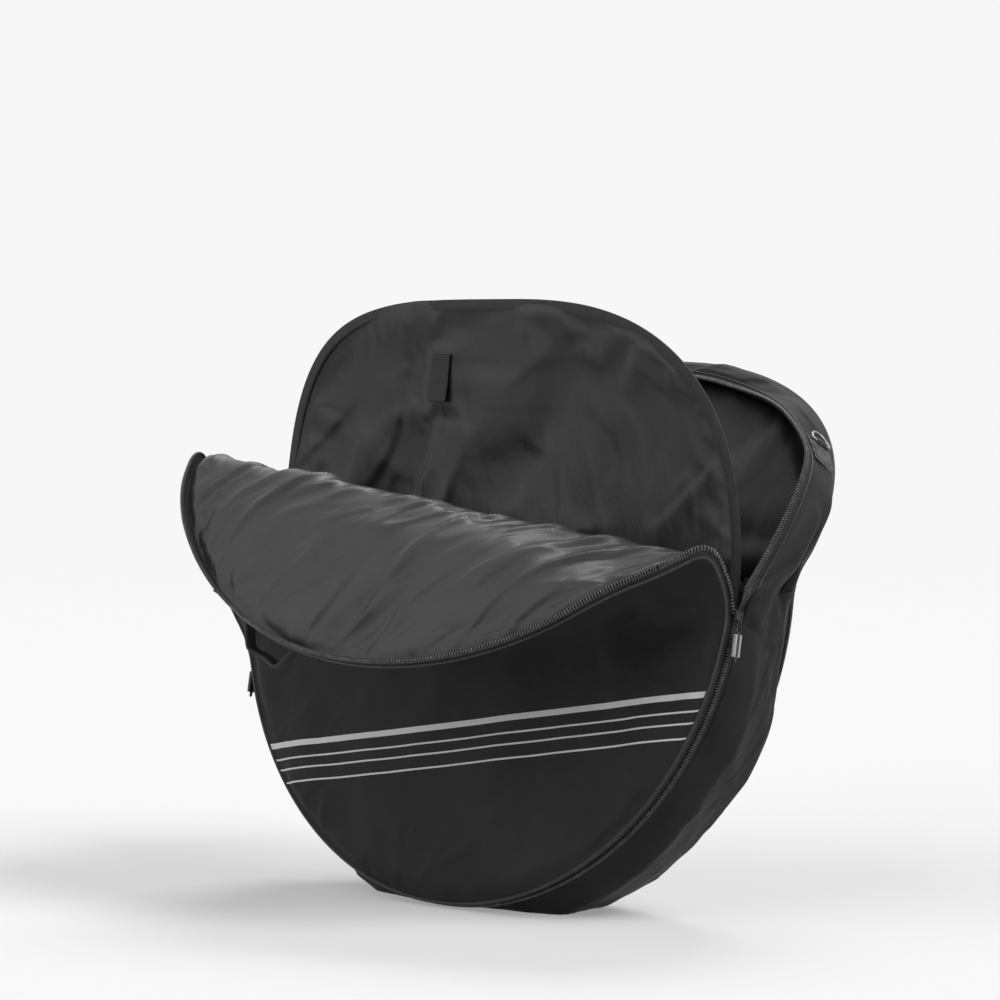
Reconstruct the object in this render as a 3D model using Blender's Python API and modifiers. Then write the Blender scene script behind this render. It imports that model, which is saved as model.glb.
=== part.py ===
"""Round padded bag for two bicycle wheels, standing open on its flattened rim.

Metres, +Z up. The front panel faces -Y, +X is to its right, and the origin is
the middle of the flat patch that the bag stands on. The front panel is folded
down over three creases, the zip halves part at two sliders, and the upper half
of the back, with its stretch of gusset, has sunk backwards as a hood.
"""

import math

import bmesh
import bpy
from mathutils import Matrix, Vector

# Overall form
PANEL_R = 0.335  # front and back panel, stitched edge
FOOT_DEPTH = 0.143  # front plane to back plane, at the floor
CENTRE_RISE = 0.3434  # floor to panel centre, along the leaning panel
FRONT_LEAN = math.radians(10.5)
BACK_LEAN = math.radians(4.5)
RIM_STEPS = 72

# Clearances
SEAM_GAP = 0.0003  # between sewn layers
CREASE_GAP = 0.0006  # between strips that fold on each other
RUN_GAP = 0.0006  # around what slides or swings

# Panel layers, from the outside in
SHELL_T = 0.0010
FOAM_T = 0.0050
LINING_T = 0.0008
FOAM_INSET = 0.008
LINING_INSET = 0.002

# Creases of the front panel: end angles on the rim, right and left, and fold
YOKE_CREASE = (math.radians(-1.0), math.radians(194.0))
SHOULDER_CREASE = (math.radians(9.4), math.radians(152.4))
FLAP_CREASE = (math.radians(30.2), math.radians(137.9))
YOKE_FOLD = math.radians(38.3)
SHOULDER_FOLD = math.radians(90.3)
FLAP_FOLD = math.radians(26.1)

# Piping
PIPING_R = 0.002
PIPING_SIDES = 6

# Zip, in the gusset's direction behind the front piping
TAPE_T = 0.0010
TAPE_W = 0.0098
TEETH_W = 0.0022
TEETH_T = 0.0024
ZIP_SLOT = 0.0016

# Gusset
GUSSET_T = 0.0012
GUSSET_CROWN = 0.027
CROWN_SHARE = 0.25  # of the gusset's depth, over which it curves in at each seam
CROWN_TOP_SHARE = 0.16  # of the crown, left at the top edge
CROWN_FADE = 0.170  # below the top edge, where the crown is full
GUSSET_ROWS = 10
SIDE_TOP = 0.358  # height of the lower gusset's and lower back panel's top edge
FOLD_RISE = 0.0004  # from that edge to the back crease

# Hood, slumped back at the crease
HOOD_LEAN = math.radians(46.5)
HOOD_H = 0.3045
HOOD_W = 0.3405  # half width at the crease
HOOD_SQUARE = 0.93  # 1 is an ellipse, less has squarer shoulders
HOOD_STEPS = 48
BAND_SIDE_W = 0.061
BAND_TOP_W = 0.034
BAND_SIDE_TURN = math.radians(12.0)
BAND_TOP_TURN = math.radians(80.0)
BAND_SKIRT = 0.077  # how far the band reaches down to the sliders
BAND_FLARE = 0.021
BAND_FLARE_Z = 0.014
BAND_ZIP_SHARE = 0.80  # of the band's width, where the zip tape starts
BAND_ROWS = 8
AIM_SHARE = 0.333  # of the hood's height, up to the point that the band turns in to

# The band's own stretches, as shares of the way from each end to the top
TURN_START_SHARE = 0.156  # it starts to turn in
TURN_SHARE = 0.625  # and turns over this stretch
FLANK_START_SHARE = 0.067  # the flare at the sides starts to fade
FLANK_SHARE = 0.333  # and fades over this stretch
SKIRT_SHARE = 0.25  # the skirt fades over this one
FOLD_SHARE = 0.125  # and the rise over the fold over this one

# Divider between the wheels
DIVIDER_LEAN = math.radians(4.6)
DIVIDER_Y = 0.0085
DIVIDER_R = 0.318
DIVIDER_TOP_H = 0.320
DIVIDER_SQUARE = 0.76
DIVIDER_DRAWN = 0.010  # how far its top is drawn to the left
DIVIDER_T = 0.0016
BINDING_W = 0.012
BINDING_T = 0.0030
TAB_W = 0.026
TAB_L = 0.052
TAB_T = 0.0024
TAB_ANGLE = math.radians(103.0)
TAB_DROP = 0.038  # below the binding

# Carrying handle on the flap's outer face, near the rim
HANDLE_ANGLE = math.radians(100.0)
HANDLE_R = 0.318
HANDLE_SPAN = 0.112
HANDLE_H = 0.042
HANDLE_STEPS = 32
HANDLE_STEEP = 3.4  # 2 rises all the way to the middle, more leaves a straight top
HANDLE_W = 0.0125
HANDLE_T = 0.0044
HANDLE_LIFT = 0.0080
FOOT_L = 0.032
FOOT_W = 0.025
FOOT_T = 0.0022
FOOT_SEWN_SHARE = 0.5  # of a foot's length, flat on the flap

# Webbing over the hood's corner, and its ring
CORNER_STEPS = (6, 8)  # from and to, of the band's steps and rows
CORNER_ROWS = (1, 7)
WEBBING_T = 0.0016
RING_W = 0.024
RING_H = 0.020
RING_WIRE = 0.0014
LOOP_L = 0.012
LOOP_T = 0.0010

# Slider and puller
SLIDER_L = 0.013
SLIDER_W = 0.0112
SLIDER_TAIL_SHARE = 0.86  # of its width, where the closed zip leaves it
PLATE_T = 0.0020
UNDER_W = 0.0090
UNDER_T = 0.0012
LIP_W = 0.0012
POST_T = 0.0008
BRIDGE_T = 0.0014
BRIDGE_L = 0.0086
BRIDGE_H = 0.0036
LINK_T = 0.0014
LINK_W = 0.0078
LINK_L = 0.0120
CORE_W = 0.0034
CORE_L = 0.0300
GRIP_L = 0.0230
GRIP_W = 0.0030
GRIP_T = 0.0040
SLIDER_SETBACK = 0.0100  # crease to slider centre

# Worked out from the sizes above
PANEL_T = SHELL_T + FOAM_T + LINING_T + 2 * SEAM_GAP
PIPE_RING_R = PANEL_R + SEAM_GAP + PIPING_R
TAPE_R = PANEL_R + SHELL_T
TAPE_TOP = -2 * (PIPING_R + SEAM_GAP)
ZIP_Z = TAPE_TOP - TAPE_W - ZIP_SLOT / 2
TEETH_R = TAPE_R + TAPE_T + SEAM_GAP
GUSSET_FRONT_Z = ZIP_Z - ZIP_SLOT / 2 - TAPE_W - SEAM_GAP
BACK_CREASE_Z = SIDE_TOP + FOLD_RISE


def material(name, colour, roughness, metallic=0.0):
    """A plain material with one colour."""
    mat = bpy.data.materials.new(name)
    mat.use_nodes = True
    shader = mat.node_tree.nodes["Principled BSDF"]
    shader.inputs["Base Color"].default_value = (*colour, 1.0)
    shader.inputs["Roughness"].default_value = roughness
    shader.inputs["Metallic"].default_value = metallic
    mat.diffuse_color = (*colour, 1.0)
    return mat


def leaning_frame(base, lean):
    """X stays level, Y points up the lean and Z forwards out of the face."""
    up = Vector((0, math.sin(lean), math.cos(lean)))
    face = Vector((0, -math.cos(lean), math.sin(lean)))
    frame = Matrix.Identity(4)
    for row in range(3):
        frame[row][1] = up[row]
        frame[row][2] = face[row]
        frame[row][3] = base[row]
    return frame


def rim_point(angle, radius=PANEL_R, z=0):
    return Vector((radius * math.cos(angle), radius * math.sin(angle), z))


def smooth(x):
    x = min(max(x, 0), 1)
    return x * x * (3 - 2 * x)


def new_object(name, bm, mat, matrix, carrier=None):
    """The finished mesh as an object of the bag, placed and carried."""
    mesh = bpy.data.meshes.new(name)
    bm.to_mesh(mesh)
    bm.free()
    mesh.materials.append(mat)
    obj = bpy.data.objects.new(name, mesh)
    BAG.objects.link(obj)
    return carry(obj, matrix, carrier)


def carry(obj, matrix, carrier=None):
    obj.matrix_basis = matrix
    if carrier:
        obj.parent = carrier
        obj.matrix_parent_inverse = WORLD_OF[carrier.name].inverted()
    return obj


def joint_empty(name, matrix, carrier=None):
    """An empty on a joint's axis, which carries the pieces that turn there."""
    empty = bpy.data.objects.new(name, None)
    BAG.objects.link(empty)
    WORLD_OF[name] = matrix
    return carry(empty, matrix, carrier)


def cut(bm, point, away):
    """Removes what lies beyond the plane, on the side that away points to."""
    everything = bm.verts[:] + bm.edges[:] + bm.faces[:]
    done = bmesh.ops.bisect_plane(
        bm, geom=everything, plane_co=point, plane_no=away, clear_outer=True
    )
    rim = [item for item in done["geom_cut"] if isinstance(item, bmesh.types.BMEdge)]
    return rim


def cut_closed(bm, point, away):
    rim = cut(bm, point, away)
    bmesh.ops.holes_fill(bm, edges=rim, sides=0)
    bmesh.ops.recalc_face_normals(bm, faces=bm.faces[:])


def crease_line(crease):
    """A point on the crease, its direction to the right, and the way up from it."""
    right, left = rim_point(crease[0]), rim_point(crease[1])
    along = (right - left).normalized()
    up = Vector((-along.y, along.x, 0))
    return (right + left) / 2, along, up


def crease_cuts(lower, upper):
    """The cuts that leave one strip of the front panel between two creases."""
    cuts = []
    if lower:
        point, _, up = crease_line(lower)
        cuts.append((point + up * CREASE_GAP / 2, -up))
    if upper:
        point, _, up = crease_line(upper)
        cuts.append((point - up * CREASE_GAP / 2, up))
    return cuts


def folded(crease, angle):
    """The turn about a crease that brings what lies above it outwards."""
    point, along, _ = crease_line(crease)
    turn = Matrix.Rotation(angle, 4, along)
    return Matrix.Translation(point) @ turn @ Matrix.Translation(-point)


def disc_layer(radius, outside, inside, cuts):
    """A flat layer of a panel, between two depths of its frame."""
    bm = bmesh.new()
    bmesh.ops.create_circle(bm, cap_ends=True, radius=radius, segments=RIM_STEPS)
    bmesh.ops.translate(bm, verts=bm.verts[:], vec=(0, 0, outside))
    for point, away in cuts:
        cut(bm, point, away)
    return extruded(bm, (0, 0, inside - outside))


def extruded(bm, depth):
    """A flat outline pushed along a vector into a closed plate."""
    grown = bmesh.ops.extrude_face_region(bm, geom=bm.faces[:], use_keep_orig=True)
    moved = [v for v in grown["geom"] if isinstance(v, bmesh.types.BMVert)]
    bmesh.ops.translate(bm, verts=moved, vec=depth)
    bmesh.ops.recalc_face_normals(bm, faces=bm.faces[:])
    return bm


def round_section(radius, z, wire, sides):
    step = 2 * math.pi / sides
    corners = [(math.cos(i * step), math.sin(i * step)) for i in range(sides)]
    return [(radius + wire * c, z + wire * s) for c, s in corners]


def box_section(r0, r1, z0, z1):
    return [(r0, z0), (r1, z0), (r1, z1), (r0, z1)]


def tape_section(z_far, z_zip, z_teeth):
    """A zip half: the tape, and its row of teeth standing on the outside."""
    return [
        (TAPE_R, z_far),
        (TAPE_R + TAPE_T, z_far),
        (TAPE_R + TAPE_T, z_teeth),
        (TEETH_R + TEETH_T, z_teeth),
        (TEETH_R + TEETH_T, z_zip),
        (TAPE_R, z_zip),
    ]


def ring(section, cuts, steps=RIM_STEPS):
    """A ring about its frame's Z axis, kept where the cuts leave it."""
    bm = bmesh.new()
    verts = [bm.verts.new((r, 0, z)) for r, z in section]
    edges = [bm.edges.new((verts[i - 1], verts[i])) for i in range(len(verts))]
    bmesh.ops.spin(
        bm,
        geom=verts + edges,
        cent=(0, 0, 0),
        axis=(0, 0, 1),
        angle=2 * math.pi,
        steps=steps,
        use_merge=True,
    )
    bmesh.ops.recalc_face_normals(bm, faces=bm.faces[:])
    for point, away in cuts:
        cut_closed(bm, point, away)
    return bm


def mapped_grid(u_steps, v_steps, point_at):
    """A sheet of quads, laid where point_at(u, v) says."""
    bm = bmesh.new()
    bmesh.ops.create_grid(bm, x_segments=u_steps, y_segments=v_steps, size=0.5)
    for vert in bm.verts:
        vert.co = point_at(vert.co.x + 0.5, vert.co.y + 0.5)
    bmesh.ops.recalc_face_normals(bm, faces=bm.faces[:])
    return bm


def add_wall(obj, thickness, offset):
    wall = obj.modifiers.new("Wall", "SOLIDIFY")
    wall.thickness = thickness
    wall.offset = offset
    wall.use_even_offset = True
    return obj


def shade_round(obj):
    obj.data.shade_smooth()
    obj.data.set_sharp_from_angle(angle=math.radians(35))
    return obj


def plane_in(matrix, point, away):
    """A world plane in an object's own frame."""
    inverse = matrix.inverted()
    return inverse @ Vector(point), inverse.to_3x3() @ Vector(away)


def panel(prefix, frame, cuts, inward, carrier):
    """Outer fabric, foam and lining of one stretch of a padded panel."""
    shell_in = SHELL_T * inward
    foam_out = (SHELL_T + SEAM_GAP) * inward
    foam_in = (SHELL_T + SEAM_GAP + FOAM_T) * inward
    lining_out = (PANEL_T - LINING_T) * inward
    lining_in = PANEL_T * inward
    layers = (
        ("outer", PANEL_R, 0, shell_in, NYLON),
        ("foam", PANEL_R - FOAM_INSET, foam_out, foam_in, FOAM),
        ("lining", PANEL_R - LINING_INSET, lining_out, lining_in, LINING),
    )
    for layer, radius, outside, inside, mat in layers:
        bm = disc_layer(radius, outside, inside, cuts)
        new_object(f"{prefix}_{layer}", bm, mat, frame, carrier)


def side_cuts(cuts):
    """The cuts of a strip whose rim is in two stretches, right and left."""
    middle = Vector((0, 0, 0))
    right = cuts + [(middle, Vector((-1, 0, 0)))]
    left = cuts + [(middle, Vector((1, 0, 0)))]
    return (("_right", right), ("_left", left))


def front_rim(prefix, frame, sides, carrier):
    """Piping and open zip half along the rim of a folded strip."""
    piping = round_section(PIPE_RING_R, TAPE_TOP / 2, PIPING_R, PIPING_SIDES)
    near = ZIP_Z + ZIP_SLOT / 2
    zip_half = tape_section(TAPE_TOP, near, near + TEETH_W)
    for side, cuts in sides:
        cord = new_object(f"{prefix}_piping{side}", ring(piping, cuts), PIPING, frame, carrier)
        shade_round(cord)
        new_object(f"{prefix}_zip{side}", ring(zip_half, cuts), TAPE, frame, carrier)


def crease_joint(name, frame, crease, carrier):
    point, along, up = crease_line(crease)
    axes = Matrix.Identity(4)
    for row in range(3):
        axes[row][0] = along[row]
        axes[row][1] = up[row]
        axes[row][3] = point[row]
    return joint_empty(name, frame @ axes, carrier)


def front_cover():
    """The front panel below its first crease, with the closed zip under its rim."""
    cuts = crease_cuts(None, YOKE_CREASE)
    panel("front_panel", FRONT, cuts, -1, None)
    piping = round_section(PIPE_RING_R, TAPE_TOP / 2, PIPING_R, PIPING_SIDES)
    shade_round(new_object("front_piping", ring(piping, cuts), PIPING, FRONT))
    near, far = ZIP_Z + ZIP_SLOT / 2, ZIP_Z - ZIP_SLOT / 2
    outer_r = TEETH_R + TEETH_T
    tape = box_section(TAPE_R, TAPE_R + TAPE_T, near, TAPE_TOP)
    teeth = box_section(TEETH_R, outer_r, near, near + TEETH_W)
    new_object("zip_tape_front", ring(tape, cuts), TAPE, FRONT)
    new_object("zip_teeth_front", ring(teeth, cuts), TEETH, FRONT)
    top = [plane_in(FRONT, (0, 0, SIDE_TOP), (0, 0, 1))]
    tape = box_section(TAPE_R, TAPE_R + TAPE_T, far - TAPE_W, far)
    teeth = box_section(TEETH_R, outer_r, far - TEETH_W, far)
    new_object("zip_tape_gusset", ring(tape, top), TAPE, FRONT)
    new_object("zip_teeth_gusset", ring(teeth, top), TEETH, FRONT)


def folded_front():
    """Yoke, shoulder and flap: the three strips that fold down outwards."""
    yoke_frame = FRONT @ folded(YOKE_CREASE, YOKE_FOLD)
    shoulder_frame = yoke_frame @ folded(SHOULDER_CREASE, SHOULDER_FOLD)
    flap_frame = shoulder_frame @ folded(FLAP_CREASE, FLAP_FOLD)

    yoke = crease_joint("yoke_hinge", FRONT, YOKE_CREASE, None)
    cuts = crease_cuts(YOKE_CREASE, SHOULDER_CREASE)
    panel("yoke", yoke_frame, cuts, -1, yoke)
    front_rim("yoke", yoke_frame, side_cuts(cuts), yoke)

    shoulder = crease_joint("shoulder_hinge", yoke_frame, SHOULDER_CREASE, yoke)
    cuts = crease_cuts(SHOULDER_CREASE, FLAP_CREASE)
    panel("shoulder", shoulder_frame, cuts, -1, shoulder)
    front_rim("shoulder", shoulder_frame, side_cuts(cuts), shoulder)

    flap = crease_joint("flap_hinge", shoulder_frame, FLAP_CREASE, shoulder)
    cuts = crease_cuts(FLAP_CREASE, None)
    panel("flap", flap_frame, cuts, -1, flap)
    front_rim("flap", flap_frame, (("", cuts),), flap)
    handle(flap_frame, flap)


def solid_box(size, middle):
    bm = bmesh.new()
    bmesh.ops.create_cube(bm, size=1)
    bmesh.ops.scale(bm, verts=bm.verts[:], vec=size)
    bmesh.ops.translate(bm, verts=bm.verts[:], vec=middle)
    return bm


def hang_angle(frame, along, outward):
    """How far gravity swings a loose piece from one axis towards another."""
    down = frame.to_3x3().inverted() @ Vector((0, 0, -1))
    return math.atan2(down[outward], down[along])


def handle(flap_frame, flap):
    """Folded webbing between two sewn feet, hanging off the flap near its rim."""
    radial = Matrix.Rotation(HANDLE_ANGLE - math.pi / 2, 4, "Z")
    seat = flap_frame @ radial @ Matrix.Translation((0, HANDLE_R, 0))
    for side, name in ((1, "handle_foot_right"), (-1, "handle_foot_left")):

        def foot_at(u, v):
            free = smooth((u - FOOT_SEWN_SHARE) / (1 - FOOT_SEWN_SHARE))
            rise = (HANDLE_LIFT - FOOT_T) * free
            width = FOOT_W + (HANDLE_W - FOOT_W) * free
            x = side * (HANDLE_SPAN / 2 + RUN_GAP + FOOT_L * (1 - u))
            return Vector((x, (v - 0.5) * width, SEAM_GAP + FOOT_T / 2 + rise))

        foot = new_object(name, mapped_grid(10, 2, foot_at), WEBBING, seat, flap)
        add_wall(foot, FOOT_T, 0)
    lift = Matrix.Translation((0, 0, HANDLE_LIFT))
    swing = Matrix.Rotation(hang_angle(seat, 1, 2), 4, "X")
    hinge = joint_empty("handle_hinge", seat @ lift @ swing, flap)

    def loop_at(u, v):
        rise = HANDLE_H * smooth((min(u, 1 - u) - 1 / HANDLE_STEPS) * HANDLE_STEEP)
        return Vector(((u - 0.5) * HANDLE_SPAN, rise, (v - 0.5) * HANDLE_W))

    grid = mapped_grid(HANDLE_STEPS, 2, loop_at)
    loop = new_object("handle_loop", grid, WEBBING, seat @ lift @ swing, hinge)
    add_wall(loop, HANDLE_T, 0)


def gusset_point(u, v):
    """The lower gusset's outer face: round the rim by u, front to back by v."""
    angle = 2 * math.pi * u
    drop = SIDE_TOP - (FRONT @ rim_point(angle)).z
    full = CROWN_TOP_SHARE + (1 - CROWN_TOP_SHARE) * smooth(drop / CROWN_FADE)
    crown = GUSSET_CROWN * full * smooth(min(v, 1 - v) / CROWN_SHARE)
    front = FRONT @ rim_point(angle, PIPE_RING_R + crown, GUSSET_FRONT_Z)
    back = BACK @ rim_point(angle, PIPE_RING_R + crown, PIPING_R + 2 * SEAM_GAP)
    point = front.lerp(back, v)
    point.z = max(point.z, 0)
    return point


def lower_gusset():
    """The band round the rim, flattened where the bag stands, cut off at the sides."""
    bm = mapped_grid(RIM_STEPS, GUSSET_ROWS, gusset_point)
    bmesh.ops.remove_doubles(bm, verts=bm.verts[:], dist=SEAM_GAP / 10)
    cut(bm, (0, 0, SIDE_TOP), (0, 0, 1))
    face_away(bm, FRONT.translation)
    add_wall(new_object("gusset_lower", bm, NYLON, Matrix.Identity(4)), GUSSET_T, -1)


def face_away(bm, middle):
    """Turns an open sheet's faces away from a point."""
    bmesh.ops.recalc_face_normals(bm, faces=bm.faces[:])
    outward = sum(f.normal.dot(f.calc_center_median() - middle) for f in bm.faces)
    if outward < 0:
        bmesh.ops.reverse_faces(bm, faces=bm.faces[:])


def back_cover():
    """The back panel below the crease, and its piping."""
    cuts = [plane_in(BACK, (0, 0, SIDE_TOP), (0, 0, 1))]
    panel("back_panel", BACK, cuts, 1, None)
    piping = round_section(PIPE_RING_R, 0, PIPING_R, PIPING_SIDES)
    shade_round(new_object("back_piping", ring(piping, cuts), PIPING, BACK))


def hood_rim(share, out=0):
    """The slumped back panel's outline in the hood's frame, right to left."""
    turn = math.pi * share
    across, up = math.cos(turn), max(math.sin(turn), 0)
    wide = math.copysign(abs(across) ** HOOD_SQUARE, across)
    high = up**HOOD_SQUARE
    outward = Vector((wide, high, 0)).normalized()
    return Vector((HOOD_W * wide, HOOD_H * high, 0)) + outward * out


def hood_band(u, v):
    """The hood's gusset from the back seam, v 0, to the zip's edge, v 1."""
    side = 2 * min(u, 1 - u)
    seam = hood_rim(u, SEAM_GAP + PIPING_R)
    inward = (Vector((0, HOOD_H * AIM_SHARE, 0)) - seam).normalized()
    width = BAND_SIDE_W + (BAND_TOP_W - BAND_SIDE_W) * smooth(side)
    turned = smooth((side - TURN_START_SHARE) / TURN_SHARE)
    turn = BAND_SIDE_TURN + (BAND_TOP_TURN - BAND_SIDE_TURN) * turned
    reach = v * width
    point = seam + inward * (reach * math.sin(turn))
    flank = 1 - smooth((side - FLANK_START_SHARE) / FLANK_SHARE)
    point.x += math.copysign(BAND_FLARE * smooth(reach / BAND_FLARE_Z) * flank, point.x)
    skirt = smooth((reach - BAND_FLARE_Z) / (width - BAND_FLARE_Z))
    skirt *= 1 - smooth(side / SKIRT_SHARE)
    point.y += FOLD_RISE * (1 - smooth(side / FOLD_SHARE)) - BAND_SKIRT * skirt
    over_panel = PANEL_T * smooth(reach / BAND_FLARE_Z) * math.sin(turn)
    point.z = PIPING_R + SEAM_GAP + GUSSET_T * flank + reach * math.cos(turn) + over_panel
    return point


def band_seat(u, v):
    """A frame on the band: X towards the top, Y to the zip's edge, Z outwards."""
    step = 1 / HOOD_STEPS
    along = (hood_band(u + step, v) - hood_band(u - step, v)).normalized()
    across = hood_band(u, v + step) - hood_band(u, v - step)
    outward = along.cross(across).normalized()
    across = outward.cross(along)
    seat = Matrix.Identity(4)
    for row in range(3):
        seat[row][0] = along[row]
        seat[row][1] = across[row]
        seat[row][2] = outward[row]
        seat[row][3] = hood_band(u, v)[row]
    return seat


def band_strip(name, u_span, v_span, rows, thickness, lift, mat):
    """A stretch of cloth that follows the hood's band, lifted off its outside."""

    length, width = u_span[1] - u_span[0], v_span[1] - v_span[0]

    def point_at(u, v):
        place = band_seat(u_span[0] + length * u, v_span[0] + width * v)
        return place @ Vector((0, 0, lift))

    columns = round(HOOD_STEPS * length)
    bm = mapped_grid(columns, rows, point_at)
    face_away(bm, Vector((0, HOOD_H / 2, 0)))
    strip = new_object(name, bm, mat, HOOD, HOOD_HINGE)
    return add_wall(strip, thickness, 1)


def hood_plate(name, inset, outside, inside, mat):
    """One layer of the slumped part of the back panel."""
    bm = bmesh.new()
    shares = [i / HOOD_STEPS for i in range(HOOD_STEPS + 1)]
    bm.faces.new([bm.verts.new(hood_rim(share, -inset)) for share in shares])
    bmesh.ops.translate(bm, verts=bm.verts[:], vec=(0, 0, outside))
    cut(bm, Vector((0, CREASE_GAP / 2, 0)), Vector((0, -1, 0)))
    new_object(name, extruded(bm, (0, 0, inside - outside)), mat, HOOD, HOOD_HINGE)


def wire(name, points, radius, mat, matrix, carrier, cyclic=False):
    """A bevelled polyline: piping or a bent wire."""
    curve = bpy.data.curves.new(name, "CURVE")
    curve.dimensions = "3D"
    curve.bevel_depth = radius
    curve.bevel_resolution = 1
    curve.use_fill_caps = not cyclic
    spline = curve.splines.new("POLY")
    spline.points.add(len(points) - 1)
    for place, point in zip(spline.points, points):
        place.co = (*point, 1)
    spline.use_cyclic_u = cyclic
    curve.materials.append(mat)
    obj = bpy.data.objects.new(name, curve)
    BAG.objects.link(obj)
    return carry(obj, matrix, carrier)


def hood():
    """The upper back panel with its piping, gusset band and open zip half."""
    foam_out = SHELL_T + SEAM_GAP
    hood_plate("hood_outer", 0, 0, SHELL_T, NYLON)
    hood_plate("hood_foam", BAND_FLARE_Z, foam_out, foam_out + FOAM_T, FOAM)
    hood_plate("hood_lining", BAND_FLARE_Z, PANEL_T - LINING_T, PANEL_T, LINING)
    seam = [hood_rim(i / HOOD_STEPS, PIPING_R + SEAM_GAP) for i in range(HOOD_STEPS + 1)]
    seam = [point + Vector((0, FOLD_RISE, 0)) for point in seam]
    wire("hood_piping", seam, PIPING_R, PIPING, HOOD, HOOD_HINGE)
    gap = 2 * SEAM_GAP / BAND_TOP_W
    coil = TEETH_W / BAND_TOP_W
    whole = (0, 1)
    band_strip("hood_gusset", whole, (0, BAND_ZIP_SHARE), BAND_ROWS, GUSSET_T, 0, NYLON)
    tape = (BAND_ZIP_SHARE + gap, 1)
    band_strip("hood_zip_tape", whole, tape, 1, TAPE_T, 0, TAPE)
    teeth = (1 + gap, 1 + gap + coil)
    band_strip("hood_zip_teeth", whole, teeth, 1, TEETH_T, 0, TEETH)


def corner_webbing():
    """The webbing sewn over the hood's right corner, and the ring that it holds."""
    lift = GUSSET_T + SEAM_GAP
    across = [row * BAND_ZIP_SHARE / BAND_ROWS for row in CORNER_ROWS]
    rows = CORNER_ROWS[1] - CORNER_ROWS[0]
    span = [step / HOOD_STEPS for step in CORNER_STEPS]
    band_strip("corner_webbing", span, across, rows, WEBBING_T, lift, WEBBING)
    tube_r = RING_WIRE + RUN_GAP + LOOP_T
    height = lift + WEBBING_T + SEAM_GAP + tube_r
    middle = (across[0] + across[1]) / 2
    seat = band_seat(span[1], middle) @ Matrix.Translation((-tube_r, 0, height))
    tube_frame = HOOD @ seat @ Matrix.Rotation(math.pi / 2, 4, "X")
    section = box_section(RING_WIRE + RUN_GAP, tube_r, -LOOP_L / 2, LOOP_L / 2)
    new_object("ring_loop", ring(section, [], 16), WEBBING, tube_frame, HOOD_HINGE)
    hinge = joint_empty("ring_hinge", HOOD @ seat, HOOD_HINGE)
    bow = [math.pi * i / 10 - math.pi / 2 for i in range(11)]
    points = [Vector((RING_H * math.cos(a), RING_W / 2 * math.sin(a), 0)) for a in bow]
    wire("d_ring", points, RING_WIRE, STEEL, HOOD @ seat, hinge, True)


def divider_point(angle, inset):
    """The divider's outline: round below, flatter, squarer and drawn aside above."""
    radius = DIVIDER_R - inset
    across, up = math.cos(angle), math.sin(angle)
    if up > 0:
        wide = math.copysign(abs(across) ** DIVIDER_SQUARE, across)
        high = (DIVIDER_TOP_H - inset) * up**DIVIDER_SQUARE
        point = Vector((radius * wide - DIVIDER_DRAWN * up**2, high, 0))
    else:
        point = rim_point(angle, radius)
    point.y += DIVIDER_R
    return point


def divider():
    """The cloth between the wheels, its bound edge and its webbing tab."""
    angles = [2 * math.pi * i / RIM_STEPS for i in range(RIM_STEPS)]
    bm = bmesh.new()
    bm.faces.new([bm.verts.new(divider_point(a, BINDING_W)) for a in angles])
    bmesh.ops.translate(bm, verts=bm.verts[:], vec=(0, 0, -DIVIDER_T / 2))
    sheet = extruded(bm, (0, 0, DIVIDER_T))
    new_object("divider_sheet", sheet, LINING, DIVIDER, DIVIDER_HINGE)

    def binding_at(u, v):
        return divider_point(2 * math.pi * u, (BINDING_W - SEAM_GAP) * (1 - v))

    bm = mapped_grid(RIM_STEPS, 1, binding_at)
    bmesh.ops.remove_doubles(bm, verts=bm.verts[:], dist=SEAM_GAP / 10)
    bmesh.ops.recalc_face_normals(bm, faces=bm.faces[:])
    binding = new_object("divider_binding", bm, PIPING, DIVIDER, DIVIDER_HINGE)
    add_wall(binding, BINDING_T, 0)
    edge = divider_point(TAB_ANGLE, BINDING_W)
    height = edge.y - TAB_DROP - TAB_L / 2
    middle = (edge.x, height, DIVIDER_T / 2 + SEAM_GAP + TAB_T / 2)
    tab = solid_box((TAB_W, TAB_L, TAB_T), middle)
    new_object("divider_tab", tab, WEBBING, DIVIDER, DIVIDER_HINGE)


def slider_section():
    """A slider across the zip: top plate with lips, post in the slot, under plate."""
    top_in = TEETH_T + RUN_GAP
    top_out = top_in + PLATE_T
    under_in = -SEAM_GAP - TAPE_T - RUN_GAP
    under_out = under_in - UNDER_T
    wide, lip, post = SLIDER_W / 2, SLIDER_W / 2 - LIP_W, POST_T / 2
    half = [
        (top_out, wide),
        (RUN_GAP / 2, wide),
        (RUN_GAP / 2, lip),
        (top_in, lip),
        (top_in, post),
        (under_in, post),
        (under_in, UNDER_W / 2),
        (under_out, UNDER_W / 2),
    ]
    return half + [(x, -z) for x, z in reversed(half)]


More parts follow.
